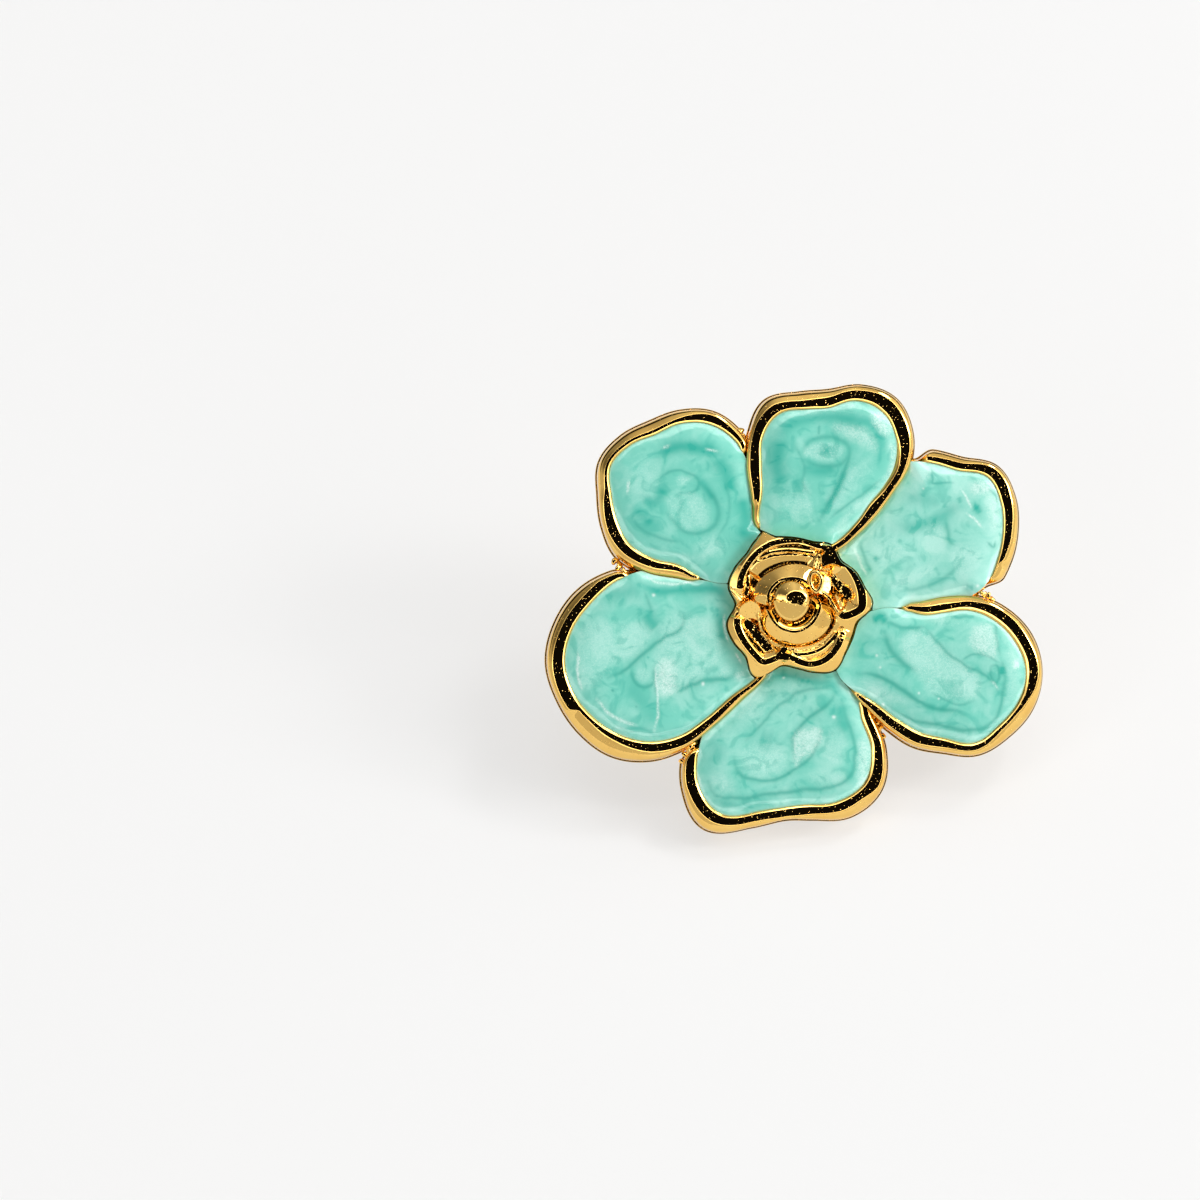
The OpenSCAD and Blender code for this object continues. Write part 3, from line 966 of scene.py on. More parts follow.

# Strokes of the marbling: what it is, half its width in chart units, its strength, and
# x and y of each point. A blob is filled, and its width is how softly it ends.
# Pearl strokes are pearly patches, and in places painted highlights and sheen; spark strokes are painted
# glints; some deep strokes are painted shade.
MARBLE = {
    "top": (
        ("blob", 34, 0.85, 520, 620, 600, 560, 720, 545, 840, 580, 850, 640, 780, 700, 650, 700, 540, 670),
        ("deep", 40, 0.5, 640, 630, 740, 615),
        ("pearl", 70, 0.45, 780, 400, 900, 400, 1040, 430, 1120, 520, 1130, 620, 1040, 560, 900, 500,
         790, 450),
        ("deep", 26, 0.7, 1080, 370, 1150, 450, 1178, 560, 1170, 680, 1150, 760),
        ("blob", 50, 0.7, 530, 880, 480, 1000, 500, 1130, 600, 1250),
        ("blob", 80, 0.7, 960, 720, 1010, 800, 880, 980, 760, 1150, 700, 1200, 760, 1000, 880, 800),
        ("blob", 60, 0.8, 1250, 800, 1120, 1000, 960, 1150, 860, 1260, 760, 1300),
        ("deep", 50, 0.6, 440, 860, 470, 960, 470, 1000),
        ("deep", 36, 0.6, 880, 760, 800, 950, 700, 1140),
        ("vein", 20, 0.6, 500, 640, 560, 540, 700, 495, 860, 545, 905, 640, 830, 735, 660, 755, 520, 700,
         500, 640),
        ("deep", 60, 0.8, 320, 560, 350, 430, 480, 350, 700, 330, 900, 340, 1080, 370, 1150, 450,
         1180, 600, 1160, 740),
        ("vein", 16, 0.8, 880, 540, 905, 650, 870, 780, 800, 950, 700, 1120, 640, 1220),
        ("vein", 13, 0.6, 1180, 870, 1000, 1010, 840, 1130, 740, 1200),
        ("vein", 12, 0.6, 650, 480, 640, 400),
        ("blob", 120, 0.6, 300, 1000, 420, 950, 540, 1040, 520, 1200, 380, 1260, 300, 1150),
        ("deep", 40, 0.7, 430, 870, 470, 960),
        ("pearl", 60, 0.7, 1110, 290, 1200, 330, 1260, 430, 1220, 480, 1130, 400),
        ("pearl", 30, 0.5, 1270, 520, 1290, 700, 1240, 860),
        ("blob", 60, 0.5, 420, 270, 800, 235, 1050, 215),
        ("deep", 75, 0.8, 330, 500, 280, 640, 290, 800, 340, 930),
        ("deep", 50, 0.6, 500, 760, 640, 800, 800, 780),
        ("blob", 90, 0.4, 900, 760, 1060, 700, 1120, 800, 960, 950, 850, 1010),
        ("vein", 14, 0.4, 430, 560, 520, 760, 500, 900, 560, 1000),
    ),
    "top_left": (
        ("blob", 70, 0.7, 640, 740, 760, 690, 900, 740, 960, 850, 920, 960, 800, 1000, 680, 940, 630, 840),
        ("vein", 18, 0.7, 880, 640, 960, 700, 1030, 800, 1030, 900, 960, 1000, 790, 1030, 700, 960,
         620, 860),
        ("vein", 14, 0.5, 350, 900, 400, 990, 560, 1070, 740, 1110),
        ("deep", 55, 0.9, 560, 400, 700, 340, 920, 350, 1060, 420),
        ("blob", 30, 0.8, 690, 600, 740, 575, 800, 600, 760, 650, 700, 645),
        ("vein", 12, 0.6, 560, 620, 600, 560, 720, 530, 840, 570, 880, 640, 840, 700, 740, 710),
        ("deep", 85, 1.0, 1210, 720, 1260, 860, 1270, 980, 1190, 1090),
        ("deep", 50, 0.6, 370, 830, 440, 900, 500, 960),
        ("deep", 45, 0.7, 420, 740, 500, 790, 560, 740, 600, 660),
        ("deep", 36, 0.6, 880, 600, 940, 680, 1000, 780),
        ("deep", 70, 0.75, 1000, 420, 1100, 560, 1150, 720),
        # Painted highlight: a thin white glint near the left edge
        ("pearl", 12, 0.8, 305, 600, 300, 710),
        ("pearl", 14, 0.6, 590, 345, 640, 330),
        ("pearl", 12, 0.7, 925, 350, 1015, 372),
        ("blob", 110, 0.4, 330, 480, 480, 420, 560, 560, 480, 760, 360, 740),
        ("blob", 80, 0.5, 860, 1100, 1000, 1060, 1120, 1120, 1080, 1220, 920, 1210),
        ("vein", 12, 0.4, 1090, 600, 1120, 760, 1100, 920, 1020, 1060),
    ),
    "left": (
        ("blob", 60, 0.55, 300, 560, 350, 490, 470, 460, 620, 455, 760, 480, 860, 540, 800, 680, 660, 760,
         480, 900, 350, 990, 290, 860, 285, 690),
        ("blob", 70, 0.65, 930, 500, 1060, 420, 1230, 440, 1350, 560, 1400, 720, 1270, 880, 1060, 1000,
         900, 1010, 880, 860, 900, 700),
        ("pearl", 60, 0.6, 900, 790, 1010, 780, 1040, 920, 1000, 1030, 915, 1000),
        ("vein", 14, 0.9, 1100, 420, 1102, 470, 1060, 545, 960, 585, 880, 640, 800, 710, 740, 760,
         640, 850, 520, 900),
        ("deep", 55, 0.8, 800, 400, 850, 480, 890, 520),
        # Painted shade below the top-left petal's rim
        ("deep", 40, 0.9, 760, 180, 900, 235, 1100, 230, 1330, 225, 1440, 300),
        ("deep", 60, 0.4, 480, 290, 640, 250, 780, 220),
        ("vein", 12, 0.5, 790, 240, 830, 330, 850, 420),
        ("vein", 14, 0.8, 700, 830, 720, 920, 780, 965, 860, 950, 885, 900),
        ("blob", 40, 0.6, 740, 860, 800, 830, 850, 880, 800, 930, 745, 910),
        ("vein", 16, 0.9, 1050, 1010, 1150, 960, 1250, 930, 1340, 920, 1430, 900, 1480, 870),
        ("deep", 70, 0.4, 640, 960, 760, 1060, 860, 1140, 860, 1260),
        ("pearl", 10, 0.8, 885, 800, 892, 900, 905, 1040, 905, 1160, 868, 1300),
        ("vein", 10, 0.6, 870, 820, 880, 940, 890, 1040),
        ("blob", 40, 0.7, 1350, 860, 1410, 800, 1460, 850, 1400, 910),
        ("pearl", 40, 0.5, 1510, 850, 1530, 900),
        # Painted highlights: thin white glints along the left and lower left edges
        ("pearl", 9, 0.9, 292, 700, 288, 830, 300, 920, 322, 990),
        ("pearl", 12, 0.8, 430, 1065, 520, 1160, 640, 1235, 740, 1262),
        ("deep", 22, 0.6, 560, 1300, 760, 1290, 900, 1330, 1100, 1290, 1250, 1200, 1380, 1080),
        # Painted shade beside the rose; then painted highlights: thin white glints along the right edge and
        # below the top-left petal's rim
        ("deep", 40, 0.7, 1360, 380, 1375, 500, 1400, 620),
        ("pearl", 9, 0.9, 1402, 410, 1408, 540, 1440, 640),
        ("pearl", 9, 0.9, 1490, 720, 1540, 780),
        ("pearl", 10, 0.7, 790, 120, 900, 165, 1050, 182, 1200, 170),
        ("dot", 9, 0.9, 548, 1005),
        ("dot", 10, 0.5, 735, 1120),
        ("spark", 11, 1.0, 865, 265),
        ("spark", 12, 1.0, 1250, 950),
    ),
    "bottom": (
        ("deep", 34, 0.6, 560, 170, 720, 115, 900, 150, 1080, 170, 1140, 260),
        ("vein", 12, 0.6, 735, 60, 735, 130),
        ("vein", 13, 0.6, 1080, 200, 900, 215, 800, 255, 700, 330, 600, 430, 520, 520, 470, 570),
        ("vein", 14, 0.9, 1100, 230, 1060, 300, 960, 380, 880, 460, 820, 530, 805, 620, 812, 700),
        ("pearl", 45, 0.6, 830, 520, 930, 490, 1005, 500, 1000, 580, 940, 660, 870, 700, 825, 740,
         810, 640),
        ("vein", 12, 0.8, 1010, 500, 990, 580, 950, 660, 900, 720, 800, 780, 740, 820, 620, 860, 500, 850,
         420, 800, 385, 700),
        ("blob", 70, 0.7, 430, 650, 560, 580, 700, 610, 760, 700, 700, 800, 560, 830, 450, 780),
        ("vein", 14, 0.8, 1150, 280, 1190, 420, 1235, 560, 1245, 700, 1235, 800, 1150, 870, 1000, 912,
         800, 930, 600, 960, 450, 985, 330, 985, 240, 940, 200, 870),
        ("blob", 60, 0.5, 900, 830, 1050, 800, 1180, 800, 1120, 880, 980, 890),
        ("pearl", 50, 0.55, 1290, 560, 1360, 680, 1350, 820, 1290, 900, 1270, 740),
        ("blob", 60, 0.5, 230, 850, 300, 810, 380, 870, 370, 940, 280, 940),
        ("blob", 90, 0.35, 330, 430, 600, 290, 880, 180),
        ("deep", 70, 0.5, 560, 560, 660, 590),
        ("deep", 55, 0.6, 1130, 300, 1150, 420, 1190, 520),
        ("deep", 60, 0.5, 200, 540, 260, 640, 240, 760),
        ("blob", 50, 0.5, 1040, 520, 1120, 490, 1180, 600, 1130, 740, 1030, 700),
        ("pearl", 9, 0.6, 110, 640, 108, 760, 150, 900),
        ("deep", 30, 0.5, 260, 1010, 420, 1050, 640, 1010),
        ("dot", 10, 0.7, 770, 800),
        ("spark", 13, 1.0, 1098, 412),
        ("spark", 8, 0.8, 738, 130),
    ),
    "right": (
        ("deep", 40, 0.9, 160, 230, 240, 215, 290, 250),
        ("vein", 15, 0.8, 280, 240, 400, 290, 500, 300, 590, 300),
        ("vein", 24, 0.9, 270, 330, 300, 430, 360, 520, 440, 590, 510, 620),
        ("vein", 17, 1.0, 60, 655, 160, 660, 260, 690, 350, 740, 440, 800, 520, 860, 600, 900, 700, 935,
         850, 950, 895, 985),
        ("vein", 12, 0.7, 590, 300, 650, 370, 720, 450, 800, 530, 870, 570, 920, 610, 1000, 635, 1070, 670,
         1130, 730, 1170, 800),
        ("vein", 15, 0.8, 1190, 570, 1215, 680, 1205, 800, 1180, 930, 1130, 1020, 1040, 1085, 900, 1105,
         800, 1082, 700, 1060, 560, 1040, 450, 1000, 350, 950, 285, 912),
        ("blob", 60, 0.85, 430, 340, 560, 310, 700, 420, 850, 560, 1000, 660, 980, 820, 820, 870, 670, 810,
         550, 700, 450, 560, 400, 450),
        ("pearl", 50, 0.6, 960, 300, 1100, 270, 1140, 380, 1130, 520, 1020, 500, 940, 420),
        ("vein", 10, 0.7, 1145, 255, 1150, 380, 1165, 500),
        ("blob", 70, 0.5, 1230, 420, 1330, 520, 1350, 700, 1300, 850, 1230, 900, 1215, 650),
        ("pearl", 34, 1.0, 1280, 570, 1310, 560, 1320, 600, 1290, 605),
        ("vein", 10, 0.8, 1105, 600, 1150, 590, 1170, 650, 1150, 720, 1110, 690, 1105, 600),
        ("deep", 24, 0.9, 1190, 590, 1195, 660),
        ("vein", 9, 0.6, 870, 560, 960, 512, 1060, 520, 1165, 565),
        ("blob", 60, 0.6, 80, 700, 200, 730, 350, 800, 440, 870, 330, 880, 150, 800),
        ("blob", 40, 0.5, 640, 235, 800, 250, 960, 250),
        ("deep", 16, 0.7, 800, 222, 900, 205, 985, 210),
        ("deep", 90, 0.4, 150, 330, 90, 450, 60, 560),
        ("vein", 11, 0.5, 650, 800, 750, 860, 860, 900, 960, 870),
        ("pearl", 12, 0.6, 1110, 710, 1160, 770),
        ("spark", 10, 0.9, 210, 510),
        ("spark", 9, 0.8, 235, 605),
        ("spark", 10, 0.9, 540, 800),
        ("spark", 11, 0.9, 252, 900),
        ("spark", 9, 0.8, 700, 848),
    ),
    "top_right": (
        ("deep", 60, 0.55, 400, 770, 600, 740, 760, 690, 900, 590, 960, 530),
        ("blob", 50, 0.6, 650, 760, 740, 710, 820, 760, 830, 900, 760, 1000, 660, 960),
        ("vein", 16, 0.6, 830, 690, 855, 800, 870, 880, 920, 920),
        ("vein", 10, 0.7, 705, 235, 716, 330, 722, 378, 810, 372, 900, 376),
        ("blob", 45, 0.6, 530, 220, 650, 200, 700, 280, 680, 350, 570, 330),
        ("pearl", 9, 1.0, 965, 435, 1010, 500, 1050, 590),
        ("pearl", 9, 1.0, 1010, 640, 1090, 690, 1150, 760),
        ("deep", 34, 0.8, 1080, 560, 1130, 640),
        ("deep", 26, 0.6, 940, 500, 960, 560),
        ("pearl", 60, 0.75, 1060, 390, 1170, 360, 1230, 440, 1160, 470, 1070, 460),
        ("pearl", 60, 0.45, 1190, 500, 1280, 540, 1300, 740, 1240, 760),
        ("vein", 9, 0.7, 1190, 415, 1260, 480, 1285, 560),
        ("vein", 10, 0.7, 1190, 880, 1250, 930, 1262, 880),
        ("blob", 60, 0.55, 300, 1270, 480, 1170, 640, 1120, 700, 1160, 520, 1240, 360, 1300),
        ("blob", 60, 0.55, 900, 960, 1060, 930, 1120, 1040, 1000, 1180, 880, 1120),
        ("vein", 18, 0.45, 430, 1310, 700, 1270, 860, 1180, 950, 1100),
        ("vein", 14, 0.6, 80, 900, 130, 1050, 190, 1160),
        ("deep", 26, 0.7, 210, 1020, 240, 1060),
        ("deep", 34, 0.7, 1000, 1290, 1080, 1290),
        ("spark", 14, 1.0, 1112, 1270),
        ("spark", 10, 0.7, 635, 425),
        ("blob", 90, 0.4, 230, 880, 400, 850, 520, 950, 420, 1080, 260, 1020),
        ("pearl", 10, 0.6, 30, 960, 90, 1080, 150, 1180),
        ("deep", 60, 0.4, 480, 480, 640, 520, 800, 560),
    ),
}
# Kinds of stroke: the pearl kind holds painted highlights and sheen too, and spark is painted glints
STROKE_KINDS = ("blob", "deep", "shade", "vein", "pearl", "dot", "spark")
# Wider pearls than this are filled as blobs are
filled_half = 25
# How the strokes waver: by how many chart units, over what length, and the noise's seed
WAVER = ((9, 0.9, 3), (4, 0.3, 5))
# In half widths of a stroke: how far round it is looked at, how softly a filled one ends,
# and how far a vein's shade reaches. Then how weak its ends are, over what part of it.
stroke_steps = 6
line_reach = 12
fill_reach = 2.5
fill_soft = 1.6
shade_reach = 2.6
weak_end = 0.35
weak_part = 0.2


def stroke(kind, half, points, x, y):
    """Strength of one stroke, and of the shade beside it, at points of its petal's chart."""
    if len(points) == 1:
        (px, py), = points
        return np.exp(-(np.hypot(x - px, y - py) / half) ** 2), 0
    if kind in ("blob", "pearl") and len(points) > 3 and half > filled_half:
        line = smooth_line(points, stroke_steps, closed=True)
        dist, _ = from_line(line, x, y, fill_reach * half)
        signed = np.where(inside_line(line, x, y), -dist, dist)
        return ease(0.5 - signed / (fill_soft * half)), 0
    dist, along = from_line(smooth_line(points, stroke_steps), x, y, line_reach * half)
    taper = mix(weak_end, 1, ease(np.minimum(along, 1 - along) / weak_part))
    return np.exp(-(dist / half) ** 2) * taper, np.exp(-dist / (shade_reach * half)) * taper


def marbling(name, u, v):
    """Strength of each kind of stroke at points of one petal."""
    left, top, scale = CHARTS[name]
    x = (u / PHOTO_MM + PHOTO_ROSE[0] - left) * scale
    y = (PHOTO_ROSE[1] - v / PHOTO_MM - top) * scale
    for size, length, seed in WAVER:
        x = x + size * soft_noise(u, v, length, seed)
        y = y + size * soft_noise(u, v, length, seed + 1)
    kinds = {kind: np.zeros(u.shape) for kind in STROKE_KINDS}
    for kind, half, strength, *places in MARBLE[name]:
        points = list(zip(places[::2], places[1::2]))
        value, shade = stroke(kind, half, points, x, y)
        kinds[kind] = np.maximum(kinds[kind], strength * value)
        if kind == "vein":
            kinds["shade"] = np.maximum(kinds["shade"], strength * shade)
    return kinds


def enamel_fill(name, petal):
    """Enamel of one petal: flat below, domed, with a slight hollow along its edge."""
    angle = even_angles(dome_around)
    r = fill_r(petal, angle, seen_gap) - seen_gap / 2
    centre, layer = petal["centre"], petal["layer"]
    low = layer + floor_n + gap
    boundary = around_centre(centre, r, angle, 0)[:, :2]
    rimmed = rim_beside(petal, boundary)
    parts = 1 - (np.arange(dome_rings) / dome_rings) ** ring_crowding
    flat = np.stack([around_centre(centre, r * part, angle, 0) for part in parts])
    x, y = flat[..., 0], flat[..., 1]
    dist, dip = edge_distance(boundary, x, y, rimmed)
    rise = dome_h * (1 - dip * (1 - np.clip(dist / dome_reach, 0, 1)) ** dome_power)
    swell = sum(height * soft_noise(x, y, length, seed) for height, length, seed in SWELLS)
    flat[..., 2] = layer - rim_inner_drop + rise + ease(dist / swell_from) * swell
    rings = [around_centre(centre, r - foot_in, angle, low), around_centre(centre, r, angle, low + foot_up)]
    middle = (*centre, float(flat[-1, :, 2].mean()))
    obj = scratch_object("fill_" + name, [*rings, *flat], (*centre, low), middle)
    u, v = plane_points(obj.data)[:, :2].T
    dist, dip = edge_distance(boundary, u, v, rimmed)
    looks = {**marbling(name, u, v), "edge": dist, "rimmed": dip, "tone": np.full(u.shape, TONES[name])}
    for kind, values in looks.items():
        store(obj.data, kind, values)
    settle_piece(obj, "enamel_" + name + "_marbled", "enamel_" + name, enamel_material(), sharp=50)


def rim_beside(petal, boundary):
    """How far each point of a fill's outline lies at a standing rim, its own or one in front."""
    at_rim = np.full(len(boundary), dip_inside)
    for row in [petal] + [PETALS[name] for name in petal["front"]]:
        x, y = (boundary - row["centre"]).T
        angle = bearing(x, y)
        own = row is petal
        edge = edge_r(row, angle) if own else outer_r(row, angle)
        beside = np.abs(np.hypot(x, y) - edge) < (at_own_rim if own else at_front_rim)
        standing = mix(dip_inside, 1, stands(rim_part(row, angle)))
        at_rim = np.where(beside, np.maximum(at_rim, standing), at_rim)
    return at_rim


def edge_distance(boundary, x, y, weight):
    """Distance from a fill's outline, found on every third corner, and its weight there."""
    corners = np.vstack([boundary, boundary[:1]])[::edge_step]
    best = np.full(x.shape, FAR)
    total, weights = np.zeros(x.shape), np.zeros(x.shape)
    for a, b, here in zip(corners, corners[1:], weight[::edge_step]):
        dist, _, _ = from_segment(a, b, x, y)
        best = np.minimum(best, dist)
        near = np.exp(-edge_fade * dist) + TINY
        total += near * here
        weights += near
    return best, total / weights


# Materials

def set_inputs(node, inputs):
    """Sets inputs of a node, each to a number or colour or to another node's value."""
    for key, value in inputs.items():
        if isinstance(value, Value):
            node.id_data.links.new(value.socket, node.inputs[key])
        else:
            node.inputs[key].default_value = value


def made(tree, kind, output, inputs, **settings):
    """Value that a new node gives."""
    node = tree.nodes.new("ShaderNode" + kind)
    for key, value in settings.items():
        setattr(node, key, value)
    set_inputs(node, inputs)
    return Value(node.outputs[output])


class Value:
    """Output of a node, for sums and products that make further nodes."""

    def __init__(self, socket):
        self.socket = socket
        self.tree = socket.id_data

    def math(self, operation, *others):
        return made(self.tree, "Math", "Value", dict(enumerate((self, *others))), operation=operation)

    def __add__(self, other):
        return self.math("ADD", other)

    def __sub__(self, other):
        return self.math("SUBTRACT", other)

    def __mul__(self, other):
        return self.math("MULTIPLY", other)

    def remap(self, low, high, to_low=0.0, to_high=1.0):
        ends = {"From Min": low, "From Max": high, "To Min": to_low, "To Max": to_high}
        return made(self.tree, "MapRange", "Result", {"Value": self, **ends})

    def clamp(self):
        return made(self.tree, "Clamp", "Result", {"Value": self})

    def between(self, start, end):
        """One from one stretch of the value to another, over which it comes and goes."""
        return self.remap(*start) - self.remap(*end)


def new_material(name):
    material = bpy.data.materials.new(name)
    material.use_nodes = True
    return material, material.node_tree, material.node_tree.nodes["Principled BSDF"]


def attribute(tree, name, output="Fac"):
    return made(tree, "Attribute", output, {}, attribute_name=name)


def noise(place, scale, detail=3.0, roughness=0.55, distortion=0.0):
    settings = {"Vector": place, "Scale": scale, "Detail": detail, "Roughness": roughness}
    return made(place.tree, "TexNoise", "Fac", {**settings, "Distortion": distortion})


def blend_colour(part, a, b):
    return made(part.tree, "Mix", MIX_RESULT, {MIX_PART: part, MIX_A: a, MIX_B: b}, data_type="RGBA")


def bump(height, strength, distance, **more):
    inputs = {"Height": height, "Strength": strength, "Distance": distance, **more}
    return made(height.tree, "Bump", "Normal", inputs)


def gold_material(name, grain):
    """Bright plating: nearly a mirror, with faint waves, pits and a warmer tone in places."""
    material, tree, shader = new_material(name)
    place = attribute(tree, "plane", "Vector")
    warmer = noise(place, 0.6).remap(0.35, 0.7) * 0.5
    wave = bump(noise(place, 1.6, 2.0), 0.25 * grain, 0.03 * MM)
    pits = noise(place, 9.0, 1.0).remap(0.71, 0.76)
    set_inputs(shader, {
        "Base Color": blend_colour(warmer, GOLD, GOLD_DEEP),
        "Metallic": 1.0,
        "Roughness": noise(place, 3.0, 5.0, 0.7).remap(0.5, 0.8, 0.03, 0.09),
        "Normal": bump(pits, 0.5 * grain, 0.04 * MM, Normal=wave),
    })
    return material


def marbled_colour(tree, place):
    """Colour of the enamel: clouds of pale and deep, with the strokes drawn over them, painted highlights,
    glints and shade among them.
    """
    at = {kind: attribute(tree, kind) for kind in STROKE_KINDS + ("edge", "rimmed", "tone")}
    cloud = noise(place, 0.5, 2.5, 0.5, 0.6)
    wisp = noise(place, 0.8, 2.5, 0.45, 1.4)
    speck = noise(place, 8.0, 3.0, 0.8)
    flake_glint = noise(place, 15.0, 2.0, 0.8)
    pale = at["blob"] * 0.66 + cloud.remap(0.35, 0.68, -0.1, 0.42) + at["tone"]
    pale = pale + wisp.remap(0.38, 0.64, -0.15, 0.2)
    pale = pale + speck.remap(0.35, 0.65, -0.2, 0.2) * (at["blob"] + 0.4)
    deep = at["deep"] + wisp.remap(0.44, 0.34, 0.0, 0.3) + at["shade"] * 0.55
    colour = ENAMEL_MID
    for part, over in (
        (pale.clamp(), ENAMEL_PALE),
        (deep.clamp(), ENAMEL_DEEP),
        (at["vein"] * 0.75, ENAMEL_VEIN),
        # Pearly patches, and painted highlights and sheen
        (at["pearl"] * speck.remap(0.42, 0.6, 0.35, 1.0), ENAMEL_PEARL_AND_HIGHLIGHT),
        # White flecks of the pearl's flakes: painted glints
        (flake_glint.remap(0.56, 0.64) * (at["pearl"] * 0.5 + at["blob"] * 0.28), WHITE),
        (at["dot"], ENAMEL_VEIN),
        # Painted glints: white specks
        (at["spark"] * 0.6, WHITE),
        (at["edge"].remap(0.0, 0.1, 0.7, 0.0) * at["rimmed"], ENAMEL_RIM),
    ):
        colour = blend_colour(part, colour, over)
    return colour


def enamel_material():
    """Thick glossy enamel: marbled, slightly pearly, with painted highlights, glints and shade, thin and
    greenish at its edge.
    """
    existing = bpy.data.materials.get("marbled_enamel")
    if existing:
        return existing
    material, tree, shader = new_material("marbled_enamel")
    place = attribute(tree, "plane", "Vector")
    set_inputs(shader, {
        "Base Color": marbled_colour(tree, place),
        "Roughness": 0.38,
        "Coat Weight": 1.0,
        "Coat Roughness": 0.03,
        "Coat IOR": 1.5,
        "Coat Normal": bump(noise(place, 0.9, 3.0, 0.5), 0.15, 0.1 * MM),
    })
    return material


# Pieces

def flower():
    angle = even_angles(around, first_turn)
    base, *bodies = [petal_body(name, petal, angle) for name, petal in PETALS.items()]
    core = prism("core", (0, 0), core_r, even_angles(disc_around), back_n, core_n)
    combine(base, "UNION", bodies + [core, rose_body()] + crumbs())
    cuts = [pocket(name, petal, even_angles(dome_around)) for name, petal in PETALS.items()]
    recess = prism("recess", (post_u, post_v), pad_d / 2 + seen_gap, even_angles(disc_around),
                   back_n - 1, back_n + pad_t - pad_proud + seen_gap)
    combine(base, "DIFFERENCE", cuts + [recess])
    settle_piece(base, "flower_gold", "flower_casting", gold_material("polished_gold", 1.0))


def ear_post():
    """Plain post on its pad, with rounded edges and a bevelled tip."""
    pad_r, post_r = pad_d / 2, post_d / 2
    pad_low, tip_n = back_n - pad_proud, back_n - post_len
    pad_top, bevel_n = pad_low + pad_t, tip_n + tip_bevel
    profile = (
        (post_r / 2 - 0.03, tip_n), (post_r / 2 + 0.03, tip_n + 0.03), (post_r - 0.03, bevel_n - 0.05),
        (post_r, bevel_n), (post_r, pad_low - 0.16), (post_r + 0.05, pad_low - 0.04),
        (post_r + 0.16, pad_low), (pad_r - 0.09, pad_low), (pad_r - 0.03, pad_low + 0.02),
        (pad_r, pad_low + 0.08),
        (pad_r, pad_top - 0.05), (pad_r - 0.05, pad_top))
    place = (post_u, post_v)
    rings = [around_centre(place, r, even_angles(disc_around), n) for r, n in profile]
    obj = scratch_object("post", rings, (*place, tip_n), (*place, pad_top))
    settle_piece(obj, "stud_post", "ear_post", gold_material("post_gold", 0.5), sharp=40)


# Studio

CAMERA_BACK = Vector((0, -math.sin(lean), math.cos(lean)))
CAMERA_RIGHT = (TURN.to_3x3() @ Vector((1, 0, 0))).normalized()
CAMERA_UP = (TURN.to_3x3() @ Vector((0, 1, 0))).normalized()


def photo_point(px, py):
    """Place in the row's frame of a photo pixel on the flower's face."""
    return Vector(to_row([(*from_photo(px, py), 0.0)])[0])


def toward(right, up, back):
    return CAMERA_RIGHT * right + CAMERA_UP * up + CAMERA_BACK * back


def camera():
    data = bpy.data.cameras.new("camera")
    obj = add_object("camera", data)
    aim = photo_point(PHOTO_SIDE / 2, PHOTO_SIDE / 2)
    turn = Matrix((CAMERA_RIGHT, CAMERA_UP, CAMERA_BACK)).transposed().to_4x4()
    obj.matrix_world = Matrix.Translation(aim + CAMERA_BACK * camera_away) @ turn
    data.sensor_width = sensor
    data.lens = sensor * camera_away / (PHOTO_SIDE * PHOTO_MM * MM)
    data.clip_start = 0.01
    data.clip_end = 50
    bpy.context.scene.camera = obj


def floor():
    mesh = bpy.data.meshes.new("floor")
    low, far = cad_box[0].z, floor_half
    corners = ((-far, -far, low), (far, -far, low), (far, far, low), (-far, far, low))
    mesh.from_pydata(corners, [], [(0, 1, 2, 3)])
    material, _, shader = new_material("pale_floor")
    set_inputs(shader, {
        "Base Color": FLOOR_COLOUR,
        "Roughness": 0.5,
        "Specular IOR Level": 0.2,
        "Emission Color": WHITE,
        "Emission Strength": floor_glow,
    })
    mesh.materials.append(material)
    add_object("floor", mesh)


def soft_box(name, aside, size_x, size_y, power):
    """Rectangular light that faces the rose."""
    light = bpy.data.lights.new(name, "AREA")
    light.shape = "RECTANGLE"
    light.size = size_x
    light.size_y = size_y
    light.energy = power
    obj = add_object(name, light)
    obj.location = photo_point(*PHOTO_ROSE) + aside.normalized() * light_away
    obj.rotation_euler = (-aside).to_track_quat("-Z", "Y").to_euler()


def part_along(place, way):
    return made(place.tree, "VectorMath", "Value", {0: place, 1: way}, operation="DOT_PRODUCT")


def off_screen(side, back, middle, half):
    """Squared angle from the middle of the screen, in half widths of the screen."""
    off = side.math("ARCTAN2", back) - math.radians(middle)
    return off.math("DIVIDE", math.radians(half)).math("ABSOLUTE").math("POWER", 2.0)


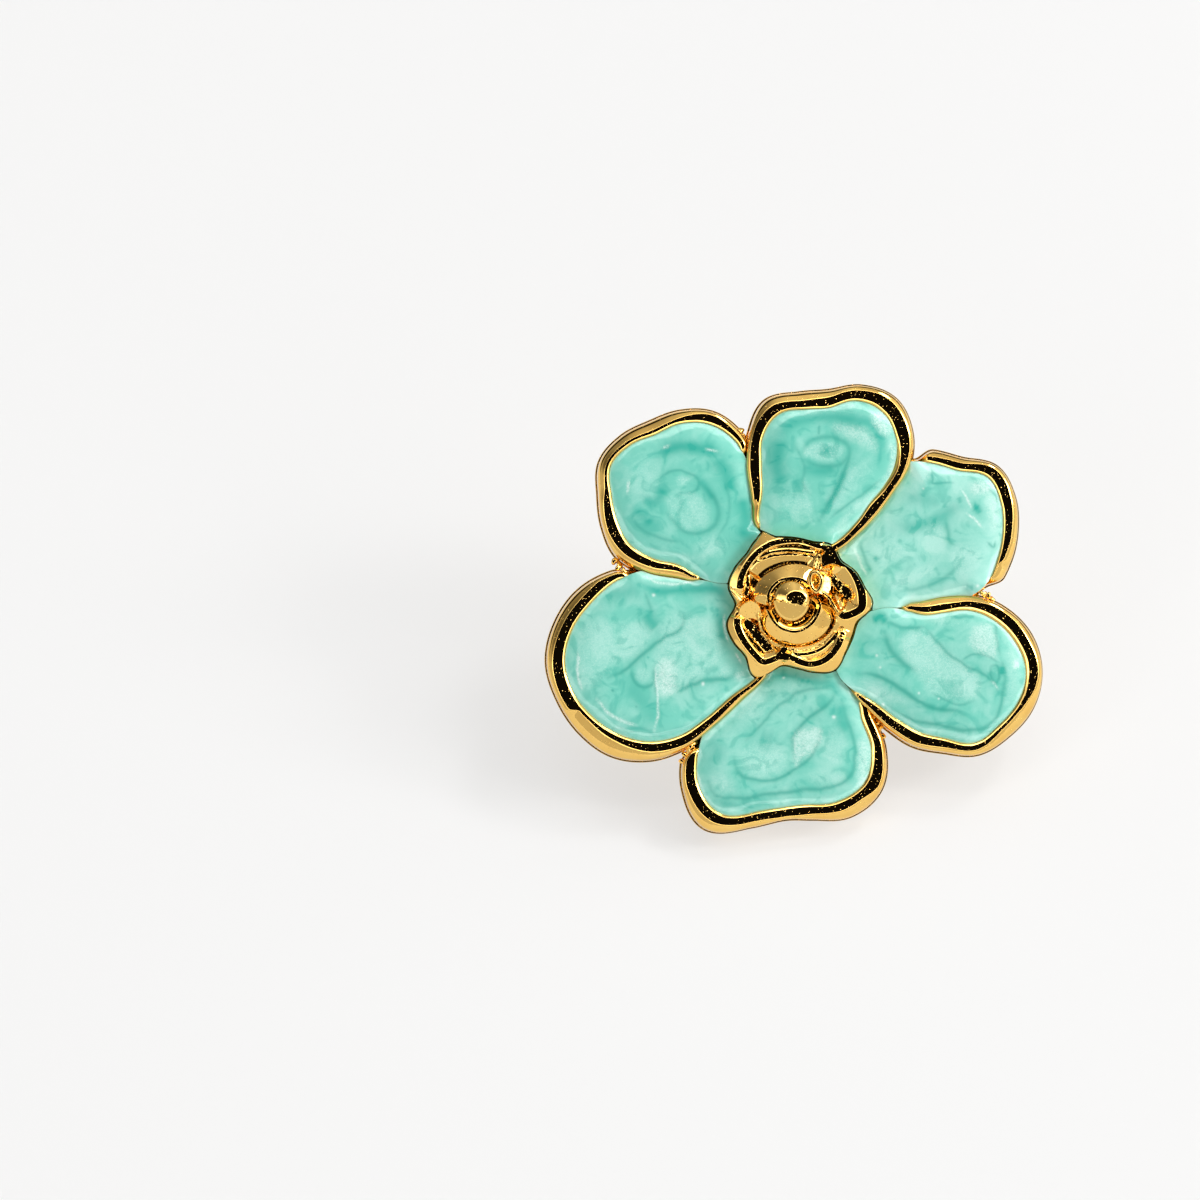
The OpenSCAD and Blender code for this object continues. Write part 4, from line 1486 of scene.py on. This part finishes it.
def room_round_screen(place, x, y, z):
    """Dark on the screen and bright round it, with a halo and a glow at the upper right."""
    across = off_screen(x, z, SCREEN_MIDDLE[0], SCREEN_HALF[0])
    upward = off_screen(y, z, SCREEN_MIDDLE[1], SCREEN_HALF[1])
    ring = (across + upward).math("SQRT")
    room = ring.remap(0.97, 1.04, 0.006, 0.65) + ring.remap(1.0, 1.5, 0.0, 0.25)
    halo = ring.between((1.02, 1.07), (1.2, 1.28)) * y.remap(-0.35, 0.0, 3.6, 5.6)
    glow = ring.between((1.1, 1.16), (1.45, 1.65)) * x.remap(0.2, 0.45) * y.remap(-0.05, 0.2, 0.0, 1.6)
    aside = part_along(place, toward(-0.74, 0.32, 0.60).normalized())
    return (room + halo + glow) * aside.remap(0.93, 0.98, 1.0, 0.6)


def sky_brightness(x, y):
    """The room above the middle, brighter in places from left to right, and even below it."""
    sky = made(x.tree, "ValToRGB", "Color", {"Fac": x.remap(-1.0, 1.0)})
    elements = sky.socket.node.color_ramp.elements
    for k, (at, bright) in enumerate(SKY):
        element = elements[k] if k < 2 else elements.new(at)
        element.position = at
        element.color = (bright, bright, bright, 1)
    return (y.remap(-0.05, 0.25) * (sky - sky_rest) + sky_rest) * sky_gain


def studio_world():
    """Bright room with a dark screen round the camera and a dim band lower down."""
    world = bpy.data.worlds.new("studio")
    bpy.context.scene.world = world
    world.use_nodes = True
    tree = world.node_tree
    tree.nodes.clear()
    place = made(tree, "TexCoord", "Generated", {})
    x, y, z = (part_along(place, way) for way in (CAMERA_RIGHT, CAMERA_UP, CAMERA_BACK))
    band = z.between((-0.5, -0.44), (-0.1, -0.02)) * -0.94 + 1.0
    slant = x.remap(-1.0, 1.0, 0.86, 1.06)
    total = room_round_screen(place, x, y, z) * sky_brightness(x, y) * band * slant
    light = made(tree, "Background", "Background", {"Color": ROOM_COLOUR, "Strength": total})
    set_inputs(tree.nodes.new("ShaderNodeOutputWorld"), {"Surface": light})


def studio():
    studio_world()
    floor()
    soft_box("high_box", toward(0.44, 0.76, 0.47), 0.12, 0.1, 0.8)
    soft_box("right_box", toward(0.8, 0.3, 0.5), 0.12, 0.2, 1.2)
    bpy.context.scene.view_settings.view_transform = "Standard"


flower()
for petal_name, petal_row in PETALS.items():
    enamel_fill(petal_name, petal_row)
ear_post()
studio()
camera()
